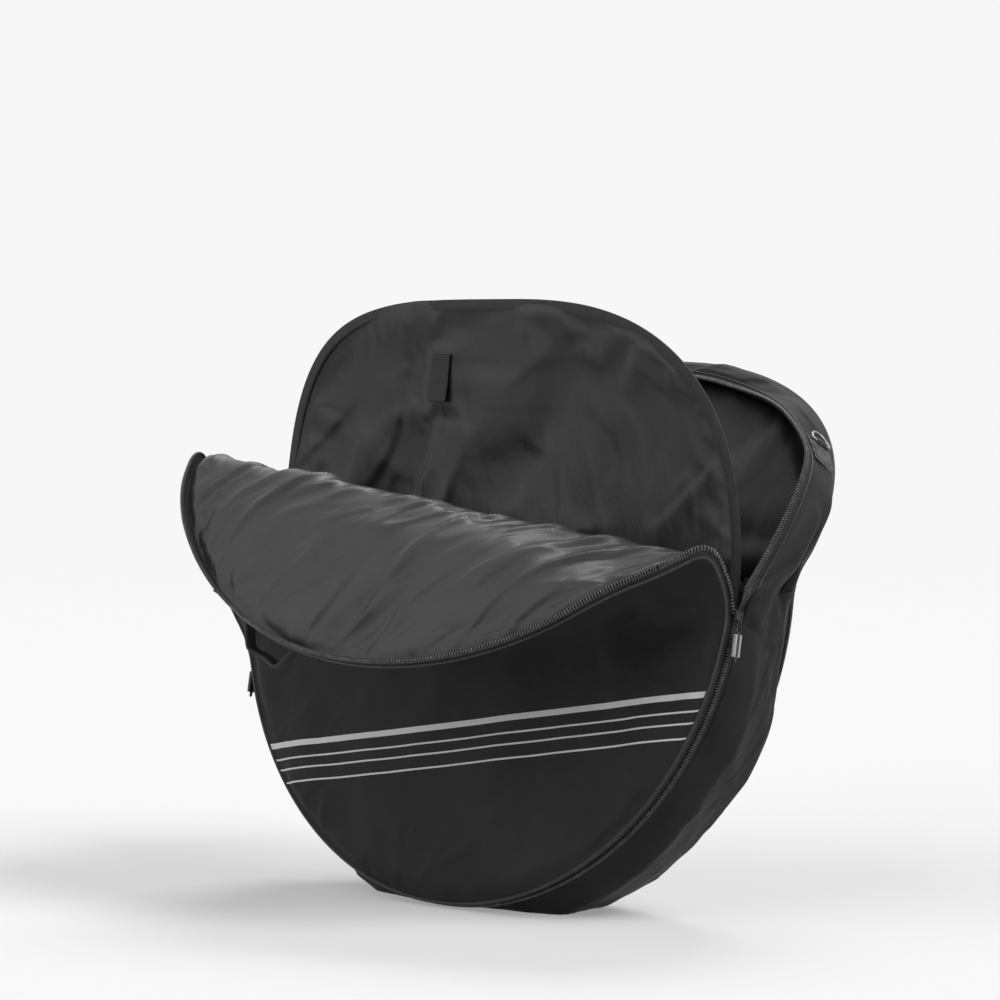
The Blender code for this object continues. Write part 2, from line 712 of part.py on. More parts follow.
def slider(side, angle, flip):
    """A slider on the zip at an angle of the rim, with its bridge and its puller."""
    run = joint_empty(f"slider_{side}_run", FRONT)
    turn = Matrix.Rotation(angle, 4, "Z") @ Matrix.Translation((TEETH_R, 0, ZIP_Z))
    seat = FRONT @ turn @ Matrix.Rotation(flip, 4, "X")
    bm = bmesh.new()
    bm.faces.new([bm.verts.new((x, -SLIDER_L / 2, z)) for x, z in slider_section()])
    extruded(bm, (0, SLIDER_L, 0))
    tail = [v for v in bm.verts if v.co.y < 0 and abs(v.co.z) > POST_T]
    bmesh.ops.scale(bm, verts=tail, vec=(1, 1, SLIDER_TAIL_SHARE))
    body = new_object(f"slider_{side}", bm, STEEL, seat, run)
    staple = bridge(f"slider_{side}_bridge", seat)
    union = body.modifiers.new("Bridge", "BOOLEAN")
    union.operation = "UNION"
    union.solver = "EXACT"
    union.object = staple
    top = TEETH_T + RUN_GAP + PLATE_T
    end = BRIDGE_L / 2 - LINK_T / 2 - RUN_GAP
    hang = Matrix.Rotation(hang_from_run(seat), 4, "Z")
    hinge_frame = seat @ Matrix.Translation((top + BRIDGE_H / 2, -end, 0)) @ hang
    puller(side, hinge_frame, joint_empty(f"puller_{side}_hinge", hinge_frame, run))


def bridge(name, seat):
    """The staple on the top plate that the puller hangs from."""
    low = TEETH_T + RUN_GAP + PLATE_T / 2
    high = TEETH_T + RUN_GAP + PLATE_T + BRIDGE_H
    outer, inner = BRIDGE_L / 2 + BRIDGE_T, BRIDGE_L / 2
    outline = [(low, -outer), (high + BRIDGE_T, -outer), (high + BRIDGE_T, outer), (low, outer)]
    outline += [(low, inner), (high, inner), (high, -inner), (low, -inner)]
    bm = bmesh.new()
    bm.faces.new([bm.verts.new((x, y, -BRIDGE_T / 2)) for x, y in outline])
    mesh = bpy.data.meshes.new(name)
    extruded(bm, (0, 0, BRIDGE_T)).to_mesh(mesh)
    staple = bpy.data.objects.new(name, mesh)
    TOOLS.objects.link(staple)
    staple.matrix_basis = seat
    staple.hide_render = True
    staple.display_type = "WIRE"
    return staple


def hang_from_run(seat):
    """The turn about Z that brings a puller from along the zip to where it hangs."""
    down = seat.to_3x3().inverted() @ Vector((0, 0, -1))
    return math.atan2(down.x, -down.y)


def puller(side, frame, hinge):
    """A flat link with an eye round the bridge's bar, and two grips on its stem."""
    wide, eye, stem = LINK_W / 2, LINK_W / 2 - LINK_T, CORE_W / 2
    top, bottom = LINK_T / 2, LINK_T / 2 - LINK_L
    neck = bottom - LINK_T
    outer = [(wide, top), (wide, bottom), (stem, neck)]
    inner = [(eye, top - LINK_T), (eye, bottom), (stem, bottom)]
    outer += [(-z, y) for z, y in reversed(outer)]
    inner += [(-z, y) for z, y in reversed(inner)]
    bm = bmesh.new()
    rim = [bm.verts.new((-LINK_T / 2, y, z)) for z, y in outer]
    hole = [bm.verts.new((-LINK_T / 2, y, z)) for z, y in inner]
    for i in range(len(rim)):
        j = (i + 1) % len(rim)
        bm.faces.new((rim[i], rim[j], hole[j], hole[i]))
    foot = neck - CORE_L
    tip = bm.verts.new((-LINK_T / 2, foot, 0))
    low = [bm.verts.new((-LINK_T / 2, foot + stem, z)) for z in (stem, -stem)]
    bm.faces.new((rim[2], low[0], tip, low[1], rim[3]))
    new_object(f"puller_{side}", extruded(bm, (LINK_T, 0, 0)), STEEL, frame, hinge)
    for end, name in ((1, "front"), (-1, "back")):
        aside = end * (stem + SEAM_GAP + GRIP_W / 2)
        grip = solid_box((GRIP_T, GRIP_L, GRIP_W), (0, neck - LINK_T - GRIP_L / 2, aside))
        obj = new_object(f"grip_{side}_{name}", grip, GRIP, frame, hinge)
        bevel = obj.modifiers.new("Edges", "BEVEL")
        bevel.width = GRIP_W / 4
        bevel.segments = 2


def main():
    front_cover()
    folded_front()
    lower_gusset()
    back_cover()
    hood()
    corner_webbing()
    divider()
    setback = SLIDER_SETBACK / TEETH_R
    slider("right", YOKE_CREASE[0] - setback, 0)
    slider("left", YOKE_CREASE[1] + setback, math.pi)


for old in list(bpy.data.objects):
    bpy.data.objects.remove(old)

BAG = bpy.data.collections.new("wheel_bag")
bpy.context.scene.collection.children.link(BAG)
TOOLS = bpy.data.collections.new("cutting_tools")
bpy.context.scene.collection.children.link(TOOLS)
WORLD_OF = {}

NYLON = material("black_nylon", (0.022, 0.022, 0.023), 0.62)
LINING = material("lining_satin", (0.060, 0.060, 0.062), 0.42)
FOAM = material("foam", (0.090, 0.090, 0.090), 0.95)
PIPING = material("piping", (0.035, 0.035, 0.036), 0.45)
TAPE = material("zip_tape", (0.020, 0.020, 0.020), 0.80)
TEETH = material("zip_coil", (0.030, 0.030, 0.030), 0.35)
WEBBING = material("webbing", (0.028, 0.028, 0.028), 0.75)
STEEL = material("dark_steel", (0.045, 0.045, 0.047), 0.30, 1.0)
GRIP = material("grip", (0.62, 0.62, 0.62), 0.45)

FRONT_UP = Vector((0, math.sin(FRONT_LEAN), math.cos(FRONT_LEAN)))
BACK_UP = Vector((0, math.sin(BACK_LEAN), math.cos(BACK_LEAN)))
FRONT_FOOT = Vector((0, -FOOT_DEPTH / 2, 0))
BACK_FOOT = Vector((0, FOOT_DEPTH / 2, 0))
FRONT = leaning_frame(FRONT_FOOT + FRONT_UP * CENTRE_RISE, FRONT_LEAN)
BACK = leaning_frame(BACK_FOOT + BACK_UP * CENTRE_RISE, BACK_LEAN)
CREASE_Y = FOOT_DEPTH / 2 + BACK_CREASE_Z * math.tan(BACK_LEAN)
HOOD = leaning_frame((0, CREASE_Y, BACK_CREASE_Z), HOOD_LEAN)
HOOD_HINGE = joint_empty("hood_hinge", HOOD)
DIVIDER = leaning_frame((0, DIVIDER_Y, GUSSET_T + SEAM_GAP), DIVIDER_LEAN)
DIVIDER_HINGE = joint_empty("divider_hinge", DIVIDER)

main()
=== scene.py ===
"""Dressed scene of the round wheel bag: padded cloth, zips, trims and a plain studio."""

import math

import bmesh
import bpy
import numpy as np
from mathutils import Matrix, Vector, noise


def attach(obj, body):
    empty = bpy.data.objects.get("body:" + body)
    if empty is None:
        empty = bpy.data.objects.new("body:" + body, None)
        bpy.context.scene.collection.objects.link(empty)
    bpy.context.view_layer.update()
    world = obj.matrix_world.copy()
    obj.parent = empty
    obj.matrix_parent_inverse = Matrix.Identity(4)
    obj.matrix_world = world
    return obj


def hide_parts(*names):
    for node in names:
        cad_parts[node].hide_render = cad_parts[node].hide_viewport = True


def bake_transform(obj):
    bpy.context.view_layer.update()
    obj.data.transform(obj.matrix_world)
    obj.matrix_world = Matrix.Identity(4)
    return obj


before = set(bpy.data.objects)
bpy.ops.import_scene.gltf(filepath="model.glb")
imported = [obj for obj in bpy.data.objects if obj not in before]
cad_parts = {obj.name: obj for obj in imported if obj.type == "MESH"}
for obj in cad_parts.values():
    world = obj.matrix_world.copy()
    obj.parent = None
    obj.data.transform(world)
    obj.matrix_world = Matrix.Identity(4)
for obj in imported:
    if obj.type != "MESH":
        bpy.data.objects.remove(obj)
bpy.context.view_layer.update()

# Sizes that the frame's solids have, in metres and radians
PANEL_R = 0.335
PANEL_T = 0.0074
FOOT_DEPTH = 0.143
CENTRE_RISE = 0.3434
FRONT_LEAN = math.radians(10.5)
BACK_LEAN = math.radians(4.5)
PIPING_R = 0.002
PIPE_RING_R = 0.3373
PIPING_Z = -0.0023
TAPE_R = 0.336
TAPE_T = 0.001
TAPE_TOP = -0.0046
ZIP_Z = -0.0152
ZIP_SLOT = 0.0016
TEETH_T = 0.0024
GUSSET_FRONT_Z = -0.0261
GUSSET_T = 0.0012
GUSSET_CROWN = 0.027
CROWN_SHARE = 0.25
CROWN_TOP_SHARE = 0.16
CROWN_FADE = 0.170
SIDE_TOP = 0.358
FOLD_RISE = 0.0004
HOOD_LEAN = math.radians(46.5)
HOOD_H = 0.3045
HOOD_W = 0.3405
HOOD_SQUARE = 0.93
BAND_SIDE_W = 0.061
BAND_TOP_W = 0.034
BAND_SIDE_TURN = math.radians(12.0)
BAND_TOP_TURN = math.radians(80.0)
BAND_SKIRT = 0.077
BAND_FLARE = 0.021
BAND_FLARE_Z = 0.014
BAND_ZIP_SHARE = 0.80
AIM_SHARE = 0.333
TURN_START_SHARE = 0.156
TURN_SHARE = 0.625
FLANK_START_SHARE = 0.067
FLANK_SHARE = 0.333
SKIRT_SHARE = 0.25
FOLD_SHARE = 0.125
DIVIDER_LEAN = math.radians(4.6)
DIVIDER_FOOT = (0, 0.0085, 0.0015)
DIVIDER_R = 0.318
HANDLE_ANGLE = math.radians(100.0)
HANDLE_R = 0.318
HANDLE_SPAN = 0.112
HANDLE_H = 0.042
HANDLE_STEEP = 3.4
HANDLE_W = 0.0125
HANDLE_T = 0.0044
HANDLE_LIFT = 0.0080
HANDLE_GAP = 0.0006
FOOT_L = 0.032
FOOT_W = 0.025
FOOT_T = 0.0022
RING_W = 0.024
RING_H = 0.020
RING_WIRE = 0.0014
RING_TUBE = 0.0030
LOOP_L = 0.012
SLIDER_RIGHT = math.radians(357.3)
SLIDER_LEFT = math.radians(195.7)
CLEAR = 0.0003  # between layers that are sewn on each other

# Creases of the front cloth: rim angles right and left, fold, and half width of the bend
YOKE = (math.radians(-1.0), math.radians(194.0), math.radians(38.3), 0.026)
SHOULDER = (math.radians(9.4), math.radians(152.4), math.radians(90.3), 0.022)
FLAP = (math.radians(30.2), math.radians(137.9), math.radians(26.1), 0.030)

# The chords half way between the creases, where one piece of cloth ends
MID_YOKE = (math.radians(4.2), math.radians(173.2))
MID_SHOULDER = (math.radians(19.8), math.radians(145.15))


# ---- Frames and patterns

TINY = 1e-12


def lengths(rows):
    return np.linalg.norm(rows, axis=1)


def unit(rows):
    return rows / (lengths(rows)[:, None] + TINY)


def polar(angle, radius=1.0):
    """Places round a middle, one row for each angle."""
    return np.column_stack((np.cos(angle), np.sin(angle))) * np.reshape(radius, (-1, 1))


def smooth(x):
    x = np.clip(x, 0, 1)
    return x * x * (3 - 2 * x)


def squarer(x, power):
    """A cosine or sine that makes a circle squarer, by a power below 1."""
    return np.sign(x) * np.abs(x) ** power


def leaning_frame(base, lean):
    """X stays level, Y points up the lean and Z forwards out of the face."""
    leaning = np.identity(4)
    leaning[:3, 1] = (0, math.sin(lean), math.cos(lean))
    leaning[:3, 2] = (0, -math.cos(lean), math.sin(lean))
    leaning[:3, 3] = base
    return leaning


def panel_frame(y, lean):
    up = np.array((0, math.sin(lean), math.cos(lean)))
    return leaning_frame(np.array((0, y, 0)) + up * CENTRE_RISE, lean)


def laid(matrix, points):
    return points @ matrix[:3, :3].T + matrix[:3, 3]


FRONT = panel_frame(-FOOT_DEPTH / 2, FRONT_LEAN)
BACK = panel_frame(FOOT_DEPTH / 2, BACK_LEAN)
CREASE_Z = SIDE_TOP + FOLD_RISE
CREASE_Y = FOOT_DEPTH / 2 + CREASE_Z * math.tan(BACK_LEAN)
CREASE_DROP = CREASE_Z / math.cos(BACK_LEAN) - CENTRE_RISE
CREASE = leaning_frame((0, CREASE_Y, CREASE_Z), BACK_LEAN)
HOOD = leaning_frame((0, CREASE_Y, CREASE_Z), HOOD_LEAN)
DIVIDER = leaning_frame(DIVIDER_FOOT, DIVIDER_LEAN)


def crease_line(right, left):
    """A point on a crease, its direction to the right, and the way up from it."""
    ends = polar(np.array((right, left)), PANEL_R)
    along = ends[0] - ends[1]
    along /= np.linalg.norm(along)
    return (ends[0] + ends[1]) / 2, along, np.array((-along[1], along[0]))


def above(flat, right, left):
    """How far a point of the flat pattern lies above a chord of the rim."""
    middle, _, up = crease_line(right, left)
    return (flat - middle) @ up


def soft_fold(points, flat, line, angle, half):
    """Turns what lies above a crease outwards, round a bend of this half width."""
    middle, along, up = line
    reach = (flat - middle) @ up
    share = np.clip((reach + half) / (2 * half), 0, 1)
    lean = np.arctan2(share * math.sin(angle), 1 - share + share * math.cos(angle))
    turned = half * share**2 + np.maximum(reach - half, 0)
    high = turned * math.cos(angle) - half * (1 - share) ** 2 + np.minimum(reach + half, 0)
    rise = (points[:, :2] - middle) @ up - reach
    depth = points[:, 2]
    high = high + rise * np.cos(lean) - depth * np.sin(lean)
    out = turned * math.sin(angle) + rise * np.sin(lean) + depth * np.cos(lean)
    aside = (points[:, :2] - middle) @ along
    return np.column_stack((middle + np.outer(aside, along) + np.outer(high, up), out))


def folded_front(flat, height):
    """Where the front cloth's pattern lies, this far off its own surface."""
    points = np.column_stack((flat, height))
    for right, left, angle, half in (FLAP, SHOULDER, YOKE):
        points = soft_fold(points, flat, crease_line(right, left), angle, half)
    return laid(FRONT, points)


HOOD_BEND_HALF = 0.022
BACK_LINE = (np.zeros(2), np.array((1.0, 0)), np.array((0, 1.0)))


def folded_back(flat, height):
    """Where the back panel's pattern lies: upright below the crease, slumped above it."""
    points = np.column_stack((flat, height))
    return laid(CREASE, soft_fold(points, flat, BACK_LINE, BACK_LEAN - HOOD_LEAN, HOOD_BEND_HALF))


def round_pattern(u, v):
    """A square grid's shares, spread evenly over a disc of radius 1."""
    a, b = 2 * u - 1, 2 * v - 1
    return np.column_stack((a * np.sqrt(1 - b * b / 2), b * np.sqrt(1 - a * a / 2)))


# ---- Swells and folds of cloth

RIDGE_BEND, RIDGE_BEND_LENGTH = 0.030, 0.20  # how far and how often a fold bends
RIDGE_STEEP, RIDGE_GENTLE = 0.55, 1.9  # shares of its sharpness on its two sides
RIDGE_LEAST, RIDGE_LENGTH = 0.35, 1.6  # its least height, and how often that changes


def rumple(flat, length, seed, turn=0, stretch=1.0):
    """Soft noise over a pattern, in waves of this length, longer one way."""
    c, s = math.cos(math.radians(turn)), math.sin(math.radians(turn))
    along = (flat[:, 0] * c + flat[:, 1] * s) / (length * stretch)
    across = (flat[:, 1] * c - flat[:, 0] * s) / length
    return np.array([noise.noise(Vector((a, b, seed))) for a, b in zip(along, across)])


def ridges(flat, length, seed, turn, stretch, sharp):
    """Crisp folds, from 0 to 1, steep on one side, that bend along their way."""
    bend = RIDGE_BEND * rumple(flat, RIDGE_BEND_LENGTH, seed + 0.5)
    crossing = rumple(flat + np.column_stack((bend, -bend)), length, seed, turn, stretch)
    width = sharp * np.where(crossing < 0, RIDGE_STEEP, RIDGE_GENTLE)
    high = smooth(rumple(flat, length * RIDGE_LENGTH, seed + 0.7) + 0.5)
    return (RIDGE_LEAST + (1 - RIDGE_LEAST) * high) * np.exp(-((crossing / width) ** 2))


def waves(flat, *kinds):
    """Adds up swells, and folds where a kind gives a sharpness too. Each kind has its
    height, length, seed, turn in degrees and stretch, and a fold its sharpness."""
    total = 0
    for height, *kind in kinds:
        total = total + height * (ridges if len(kind) == 5 else rumple)(flat, *kind)
    return total


OUTER_SWELLS = (0.0022, 0.075, 3.0, 70, 1.7), (0.0012, 0.030, 5.0, 50, 2.0)
OUTER_PUCKERS = (0.0022, 0.050, 41.0, 72, 2.2, 0.16)
OUTER_CREASES = (0.0012, 0.110, 43.0, 25, 3.0, 0.12)
LINING_SWELL = (0.0048, 0.080, 8.0, 90, 2.4)
LINING_FOLDS = (0.0046, 0.056, 7.0, 90, 5.0, 0.16), (0.0022, 0.034, 9.0, 96.8755, 4.0, 0.16)
LINING_FAN = (0.0017, 0.022, 10.0, 126, 4.0, 0.20)
LINING_PUCKERS = (0.0056, 0.018, 12.0, 30, 1.4, 0.24)
GUSSET_WAVES = (
    (0.0042, 0.085, 11.0, -52, 2.0),
    (0.0030, 0.060, 13.0, -38, 3.0, 0.15),
    (0.0013, 0.024, 15.0, -60, 2.2),
    (0.0015, 0.034, 16.0, 40, 2.6, 0.15),
)
BACK_WAVES = (0.0035, 0.065, 17.0, 110, 2.0), (0.0018, 0.028, 19.0, 80, 2.0)
BACK_LINING_WAVES = (0.0035, 0.065, 17.0074, 110, 2.0), (0.0018, 0.028, 19.0074, 80, 2.0)
HOOD_WAVES = (
    (0.0026, 0.045, 23.0, 80, 1.6),
    (0.0034, 0.050, 27.0, 12, 3.0, 0.15),
    (0.0010, 0.020, 29.0, 60, 1.6),
)
DIVIDER_SWELL = (0.0050, 0.080, 31.0, 65, 2.4)
DIVIDER_FOLDS = (0.0030, 0.085, 33.0, 58, 3.0, 0.13), (0.0016, 0.045, 35.0, 110, 2.6, 0.13)
PATCH_SWELL = (0.0008, 0.012, 41.0, 0, 1.0)


# ---- Making pieces


def new_piece(name, bm, mat):
    mesh = bpy.data.meshes.new(name)
    bm.to_mesh(mesh)
    bm.free()
    mesh.materials.append(mat)
    mesh.shade_smooth()
    piece = bpy.data.objects.new(name, mesh)
    bpy.context.scene.collection.objects.link(piece)
    return piece


def patterned_grid(columns, rows, shape, flip=False):
    """A sheet of quads. shape(u, v) gives its flat pattern and where it lies."""
    bm = bmesh.new()
    bmesh.ops.create_grid(bm, x_segments=columns, y_segments=rows, size=0.5)
    bm.verts.index_update()
    shares = np.array([vert.co[:2] for vert in bm.verts]) + 0.5
    flat, world = shape(*shares.T)
    for vert, place in zip(bm.verts, world):
        vert.co = place
    pattern = bm.loops.layers.uv.new("Cloth")
    for face in bm.faces:
        for loop in face.loops:
            loop[pattern].uv = flat[loop.vert.index]
    if flip:
        bmesh.ops.reverse_faces(bm, faces=bm.faces[:])
    return bm


def face_away(bm, middle):
    """Turns an open sheet's faces away from a point."""
    bmesh.ops.recalc_face_normals(bm, faces=bm.faces[:])
    middle = Vector(middle)
    outward = sum(f.normal.dot(f.calc_center_median() - middle) for f in bm.faces)
    if outward < 0:
        bmesh.ops.reverse_faces(bm, faces=bm.faces[:])


def wall(piece, thickness, offset=-1.0):
    made = piece.modifiers.new("Wall", "SOLIDIFY")
    made.thickness = thickness
    made.offset = offset
    return piece


def mesh_points(mesh):
    flat = np.empty(len(mesh.vertices) * 3)
    mesh.vertices.foreach_get("co", flat)
    return flat.reshape(-1, 3)


def mesh_normals(mesh):
    return np.array([vert.normal[:] for vert in mesh.vertices])


def mesh_pattern(mesh):
    """Each point's place on the flat pattern."""
    flat = np.zeros((len(mesh.vertices), 2))
    pattern = mesh.uv_layers["Cloth"].data
    for loop in mesh.loops:
        flat[loop.vertex_index] = pattern[loop.index].uv
    return flat


SETTLE_FRAMES = 18
CLOTH = {
    "quality": 5,
    "mass": 0.15,
    "tension_stiffness": 15,
    "compression_stiffness": 15,
    "shear_stiffness": 5,
    "bending_stiffness": 0.4,
    "vertex_group_mass": "Sewn",
}


def buckled(piece, held, growth, most, back=0.0008):
    """Lets a sheet that was cut too large buckle between its sewn edges.
    A point moves this far at most, and no further back than what lies behind allows."""
    start = mesh_points(piece.data)
    sewn = piece.vertex_groups.new(name="Sewn")
    sewn.add([int(i) for i in np.nonzero(held)[0]], 1.0, "REPLACE")
    cloth = piece.modifiers.new("Cloth", "CLOTH")
    for name, value in CLOTH.items():
        setattr(cloth.settings, name, value)
    cloth.settings.shrink_min = -growth
    cloth.settings.effector_weights.gravity = 0
    cloth.collision_settings.use_collision = False
    scene = bpy.context.scene
    for step in range(1, SETTLE_FRAMES + 1):
        scene.frame_set(step)
    graph = bpy.context.evaluated_depsgraph_get()
    moved = mesh_points(piece.evaluated_get(graph).data) - start
    piece.modifiers.remove(cloth)
    piece.vertex_groups.clear()
    scene.frame_set(1)
    normals = mesh_normals(piece.data)
    sunk = np.minimum((moved * normals).sum(axis=1) + back, 0)
    moved -= normals * sunk[:, None]
    far = lengths(moved)[:, None] + TINY
    settled = start + moved / far * most * np.tanh(far / most)
    piece.data.vertices.foreach_set("co", settled.ravel())


def refined(piece):
    """One smooth subdivision, kept."""
    finer = piece.modifiers.new("Finer", "SUBSURF")
    finer.levels = finer.render_levels = 1
    graph = bpy.context.evaluated_depsgraph_get()
    mesh = bpy.data.meshes.new_from_object(piece.evaluated_get(graph))
    piece.modifiers.clear()
    piece.data = mesh


def pressed(piece, height):
    """Moves each point along its normal by what its place in the pattern asks for."""
    raised = mesh_normals(piece.data) * height(mesh_pattern(piece.data))[:, None]
    place = mesh_points(piece.data) + raised
    piece.data.vertices.foreach_set("co", place.astype(np.float32).ravel())
    piece.data.update()


def stretch_of(whole, name, keeps):
    """The faces of a sheet whose middle of the pattern passes, shaded as the whole."""
    bm = bmesh.new()
    bm.from_mesh(whole.data)
    shade = bm.verts.layers.float_vector.new("Shade")
    for vert, source in zip(bm.verts, whole.data.vertices):
        vert[shade] = source.normal
    pattern = bm.loops.layers.uv["Cloth"]
    middles = []
    for face in bm.faces:
        corners = (loop[pattern].uv for loop in face.loops)
        middles.append(sum(corners, Vector((0, 0))) / len(face.loops))
    kept = keeps(np.array(middles))
    lost = [face for face, stays in zip(bm.faces, kept) if not stays]
    bmesh.ops.delete(bm, geom=lost, context="FACES")
    for edge in bm.edges:
        edge.smooth = not edge.is_boundary
    piece = new_piece(name, bm, whole.data.materials[0])
    stored = piece.data.attributes["Shade"]
    normals = [entry.vector[:] for entry in stored.data]
    piece.data.attributes.remove(stored)
    piece.data.normals_split_custom_set_from_vertices(normals)
    return piece


def carried(piece, slot, mover, *nodes):
    """Parents a piece to the body that moves it, or for a bend only bakes its place in, and hides
    the solids it stands for. The slot is not used.
    """
    if isinstance(mover, str):
        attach(piece, mover)
    else:
        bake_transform(piece)
    if nodes:
        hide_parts(*nodes)


# ---- Seams, and the trims that follow them

PROBE = 1e-4
WELD = 1e-5
SWEEP_WELD = 1e-6
SHARP_EDGE = math.radians(50)


class Seam:
    """A line on the bag, with the directions across and out from it."""

    def __init__(self, points, across, out):
        steps = lengths(np.diff(points, axis=0))
        self.at = np.concatenate(((0,), np.cumsum(steps)))
        self.columns = np.hstack((points, across, out)).T

    def place(self, along, across, out):
        found = [np.interp(along, self.at, column) for column in self.columns]
        point, side, up = (np.column_stack(found[i : i + 3]) for i in (0, 3, 6))
        return point + side * across[:, None] + up * out[:, None]


def seam_on(surface, shares):
    """A seam where surface(share, across, out) gives places on the bag."""
    none = np.zeros_like(shares)
    points = surface(shares, none, none)
    across = (surface(shares, none + PROBE, none) - points) / PROBE
    out = (surface(shares, none, none + PROBE) - points) / PROBE
    return Seam(points, across, out)


def seam_with(points, out):
    """A seam through points, from its way out of the surface."""
    return Seam(points, unit(np.cross(np.gradient(points, axis=0), out)), out)


def framed_seam(matrix, points, across):
    """A seam in a frame, with one direction across it."""
    across = np.tile(np.array(across, float), (len(points), 1))
    out = unit(np.cross(np.gradient(points, axis=0), across))
    turn = matrix[:3, :3].T
    return Seam(laid(matrix, points), across @ turn, out @ turn)


def sweep(name, seam, section, step, mat, span=None, closed=False):
    """A closed section, drawn along a seam or a stretch of it."""
    first, last = span or (0, seam.at[-1])
    loop = np.array([*section, section[0]])
    girth = np.concatenate(((0,), np.cumsum(lengths(np.diff(loop, axis=0)))))
    columns = max(round((last - first) / step), 1)

    def shape(u, v):
        along = first + (last - first) * u
        corner = v * len(section)
        index = np.arange(len(loop))
        across, out, round_it = (np.interp(corner, index, x) for x in (*loop.T, girth))
        return np.column_stack((along, round_it)), seam.place(along, across, out)

    bm = patterned_grid(columns, len(section), shape)
    bmesh.ops.remove_doubles(bm, verts=bm.verts[:], dist=SWEEP_WELD)
    if not closed:
        ends = [edge for edge in bm.edges if edge.is_boundary]
        bmesh.ops.holes_fill(bm, edges=ends, sides=0)
    bmesh.ops.recalc_face_normals(bm, faces=bm.faces[:])
    piece = new_piece(name, bm, mat)
    piece.data.set_sharp_from_angle(angle=SHARP_EDGE)
    return piece


def round_section(radius, across, out, sides=10):
    turns = [2 * math.pi * i / sides for i in range(sides)]
    return [(across + radius * math.cos(t), out + radius * math.sin(t)) for t in turns]


def flat_section(near, far, low, high):
    return [(near, low), (far, low), (far, high), (near, high)]


def oval(width, thick, sides=14, power=0.45):
    """A flat section with rounded edges."""
    turns = np.linspace(0, 2 * math.pi, sides, endpoint=False)
    across, out = squarer(np.cos(turns), power), squarer(np.sin(turns), power)
    return list(zip(across * width / 2, out * thick / 2))


def bead(size, ease):
    """A small block with eased edges, its length along the seam."""
    bm = bmesh.new()
    bmesh.ops.create_cube(bm, size=1)
    bmesh.ops.scale(bm, verts=bm.verts[:], vec=size)
    bmesh.ops.bevel(
        bm, geom=bm.edges[:], offset=ease, offset_type="OFFSET", affect="EDGES",
        segments=1, profile=0.5, material=-1,
    )
    mesh = bpy.data.meshes.new("bead")
    bm.to_mesh(mesh)
    bm.free()
    return mesh


def repeated(name, seam, block, pitch, mat, offset, span=None, start=0.0):
    """Copies of a small shape along a seam or a stretch of it, one for each pitch."""
    first, last = span or (0, seam.at[-1])
    count = int((last - first) / pitch)
    block.transform(Matrix.Translation((first + start + pitch / 2, *offset)))
    bm = bmesh.new()
    bm.from_mesh(block)
    bmesh.ops.spin(
        bm, geom=bm.verts[:] + bm.edges[:] + bm.faces[:], cent=(0, 0, 0), axis=(0, 0, 1),
        dvec=(pitch, 0, 0), angle=0, steps=count - 1, use_duplicate=True,
    )
    bpy.data.meshes.remove(block)
    local = np.array([vert.co for vert in bm.verts])
    for vert, place in zip(bm.verts, seam.place(*local.T)):
        vert.co = place
    bmesh.ops.recalc_face_normals(bm, faces=bm.faces[:])
    return new_piece(name, bm, mat)


def joined(name, parts):
    """Several meshes as one piece."""
    bm = bmesh.new()
    for part in parts:
        bm.from_mesh(part.data)
    mat = parts[0].data.materials[0]
    for part in parts:
        bpy.data.meshes.remove(part.data)
    piece = new_piece(name, bm, mat)
    piece.data.set_sharp_from_angle(angle=SHARP_EDGE)
    return piece


STITCH_SIZE = (0.0026, 0.0007, 0.0005)
STITCH_EASE = 0.00018
STITCH_PITCH = 0.0036
STITCH_LIFT = 0.0001
BOX_STEPS = 24
WEB_STEP = 0.002
PATH_SAMPLES = 41


def stitch_row(name, seam, across=0, out=0, span=None):
    block = bead(STITCH_SIZE, STITCH_EASE)
    return repeated(name, seam, block, STITCH_PITCH, THREAD, (across, out), span)


def box_stitches(name, seam, span, reach, out):
    """A sewn box with a cross in it, as rows of short stitches."""
    low, high = span
    corners = ((low, -reach), (high, -reach), (high, reach), (low, reach), (low, -reach))
    lines = [*zip(corners[:-1], corners[1:]), (corners[0], corners[2]), (corners[1], corners[3])]
    rows = []
    for i, line in enumerate(lines):
        along, across = np.linspace(*line, BOX_STEPS).T
        places = seam.place(along, across, np.full(BOX_STEPS, out))
        raised = seam.place(along[:1], across[:1], np.full(1, out + PROBE))
        up = np.tile((raised - places[:1]) / PROBE, (BOX_STEPS, 1))
        rows.append(stitch_row(f"{name}_{i}", seam_with(places, up)))
    return joined(name, rows)


# ---- Materials


class Value:
    """A shader's socket. Arithmetic on it adds Math nodes."""

    def __init__(self, nodes, socket):
        self.nodes = nodes
        self.socket = socket

    def math(self, operation, *others):
        inputs = dict(enumerate((self, *others)))
        return self.nodes.node("Math", {"operation": operation}, inputs)

    def __add__(self, other):
        return self.math("ADD", other)

    def __sub__(self, other):
        return self.math("SUBTRACT", other)

    def __mul__(self, other):
        return self.math("MULTIPLY", other)

    __radd__ = __add__


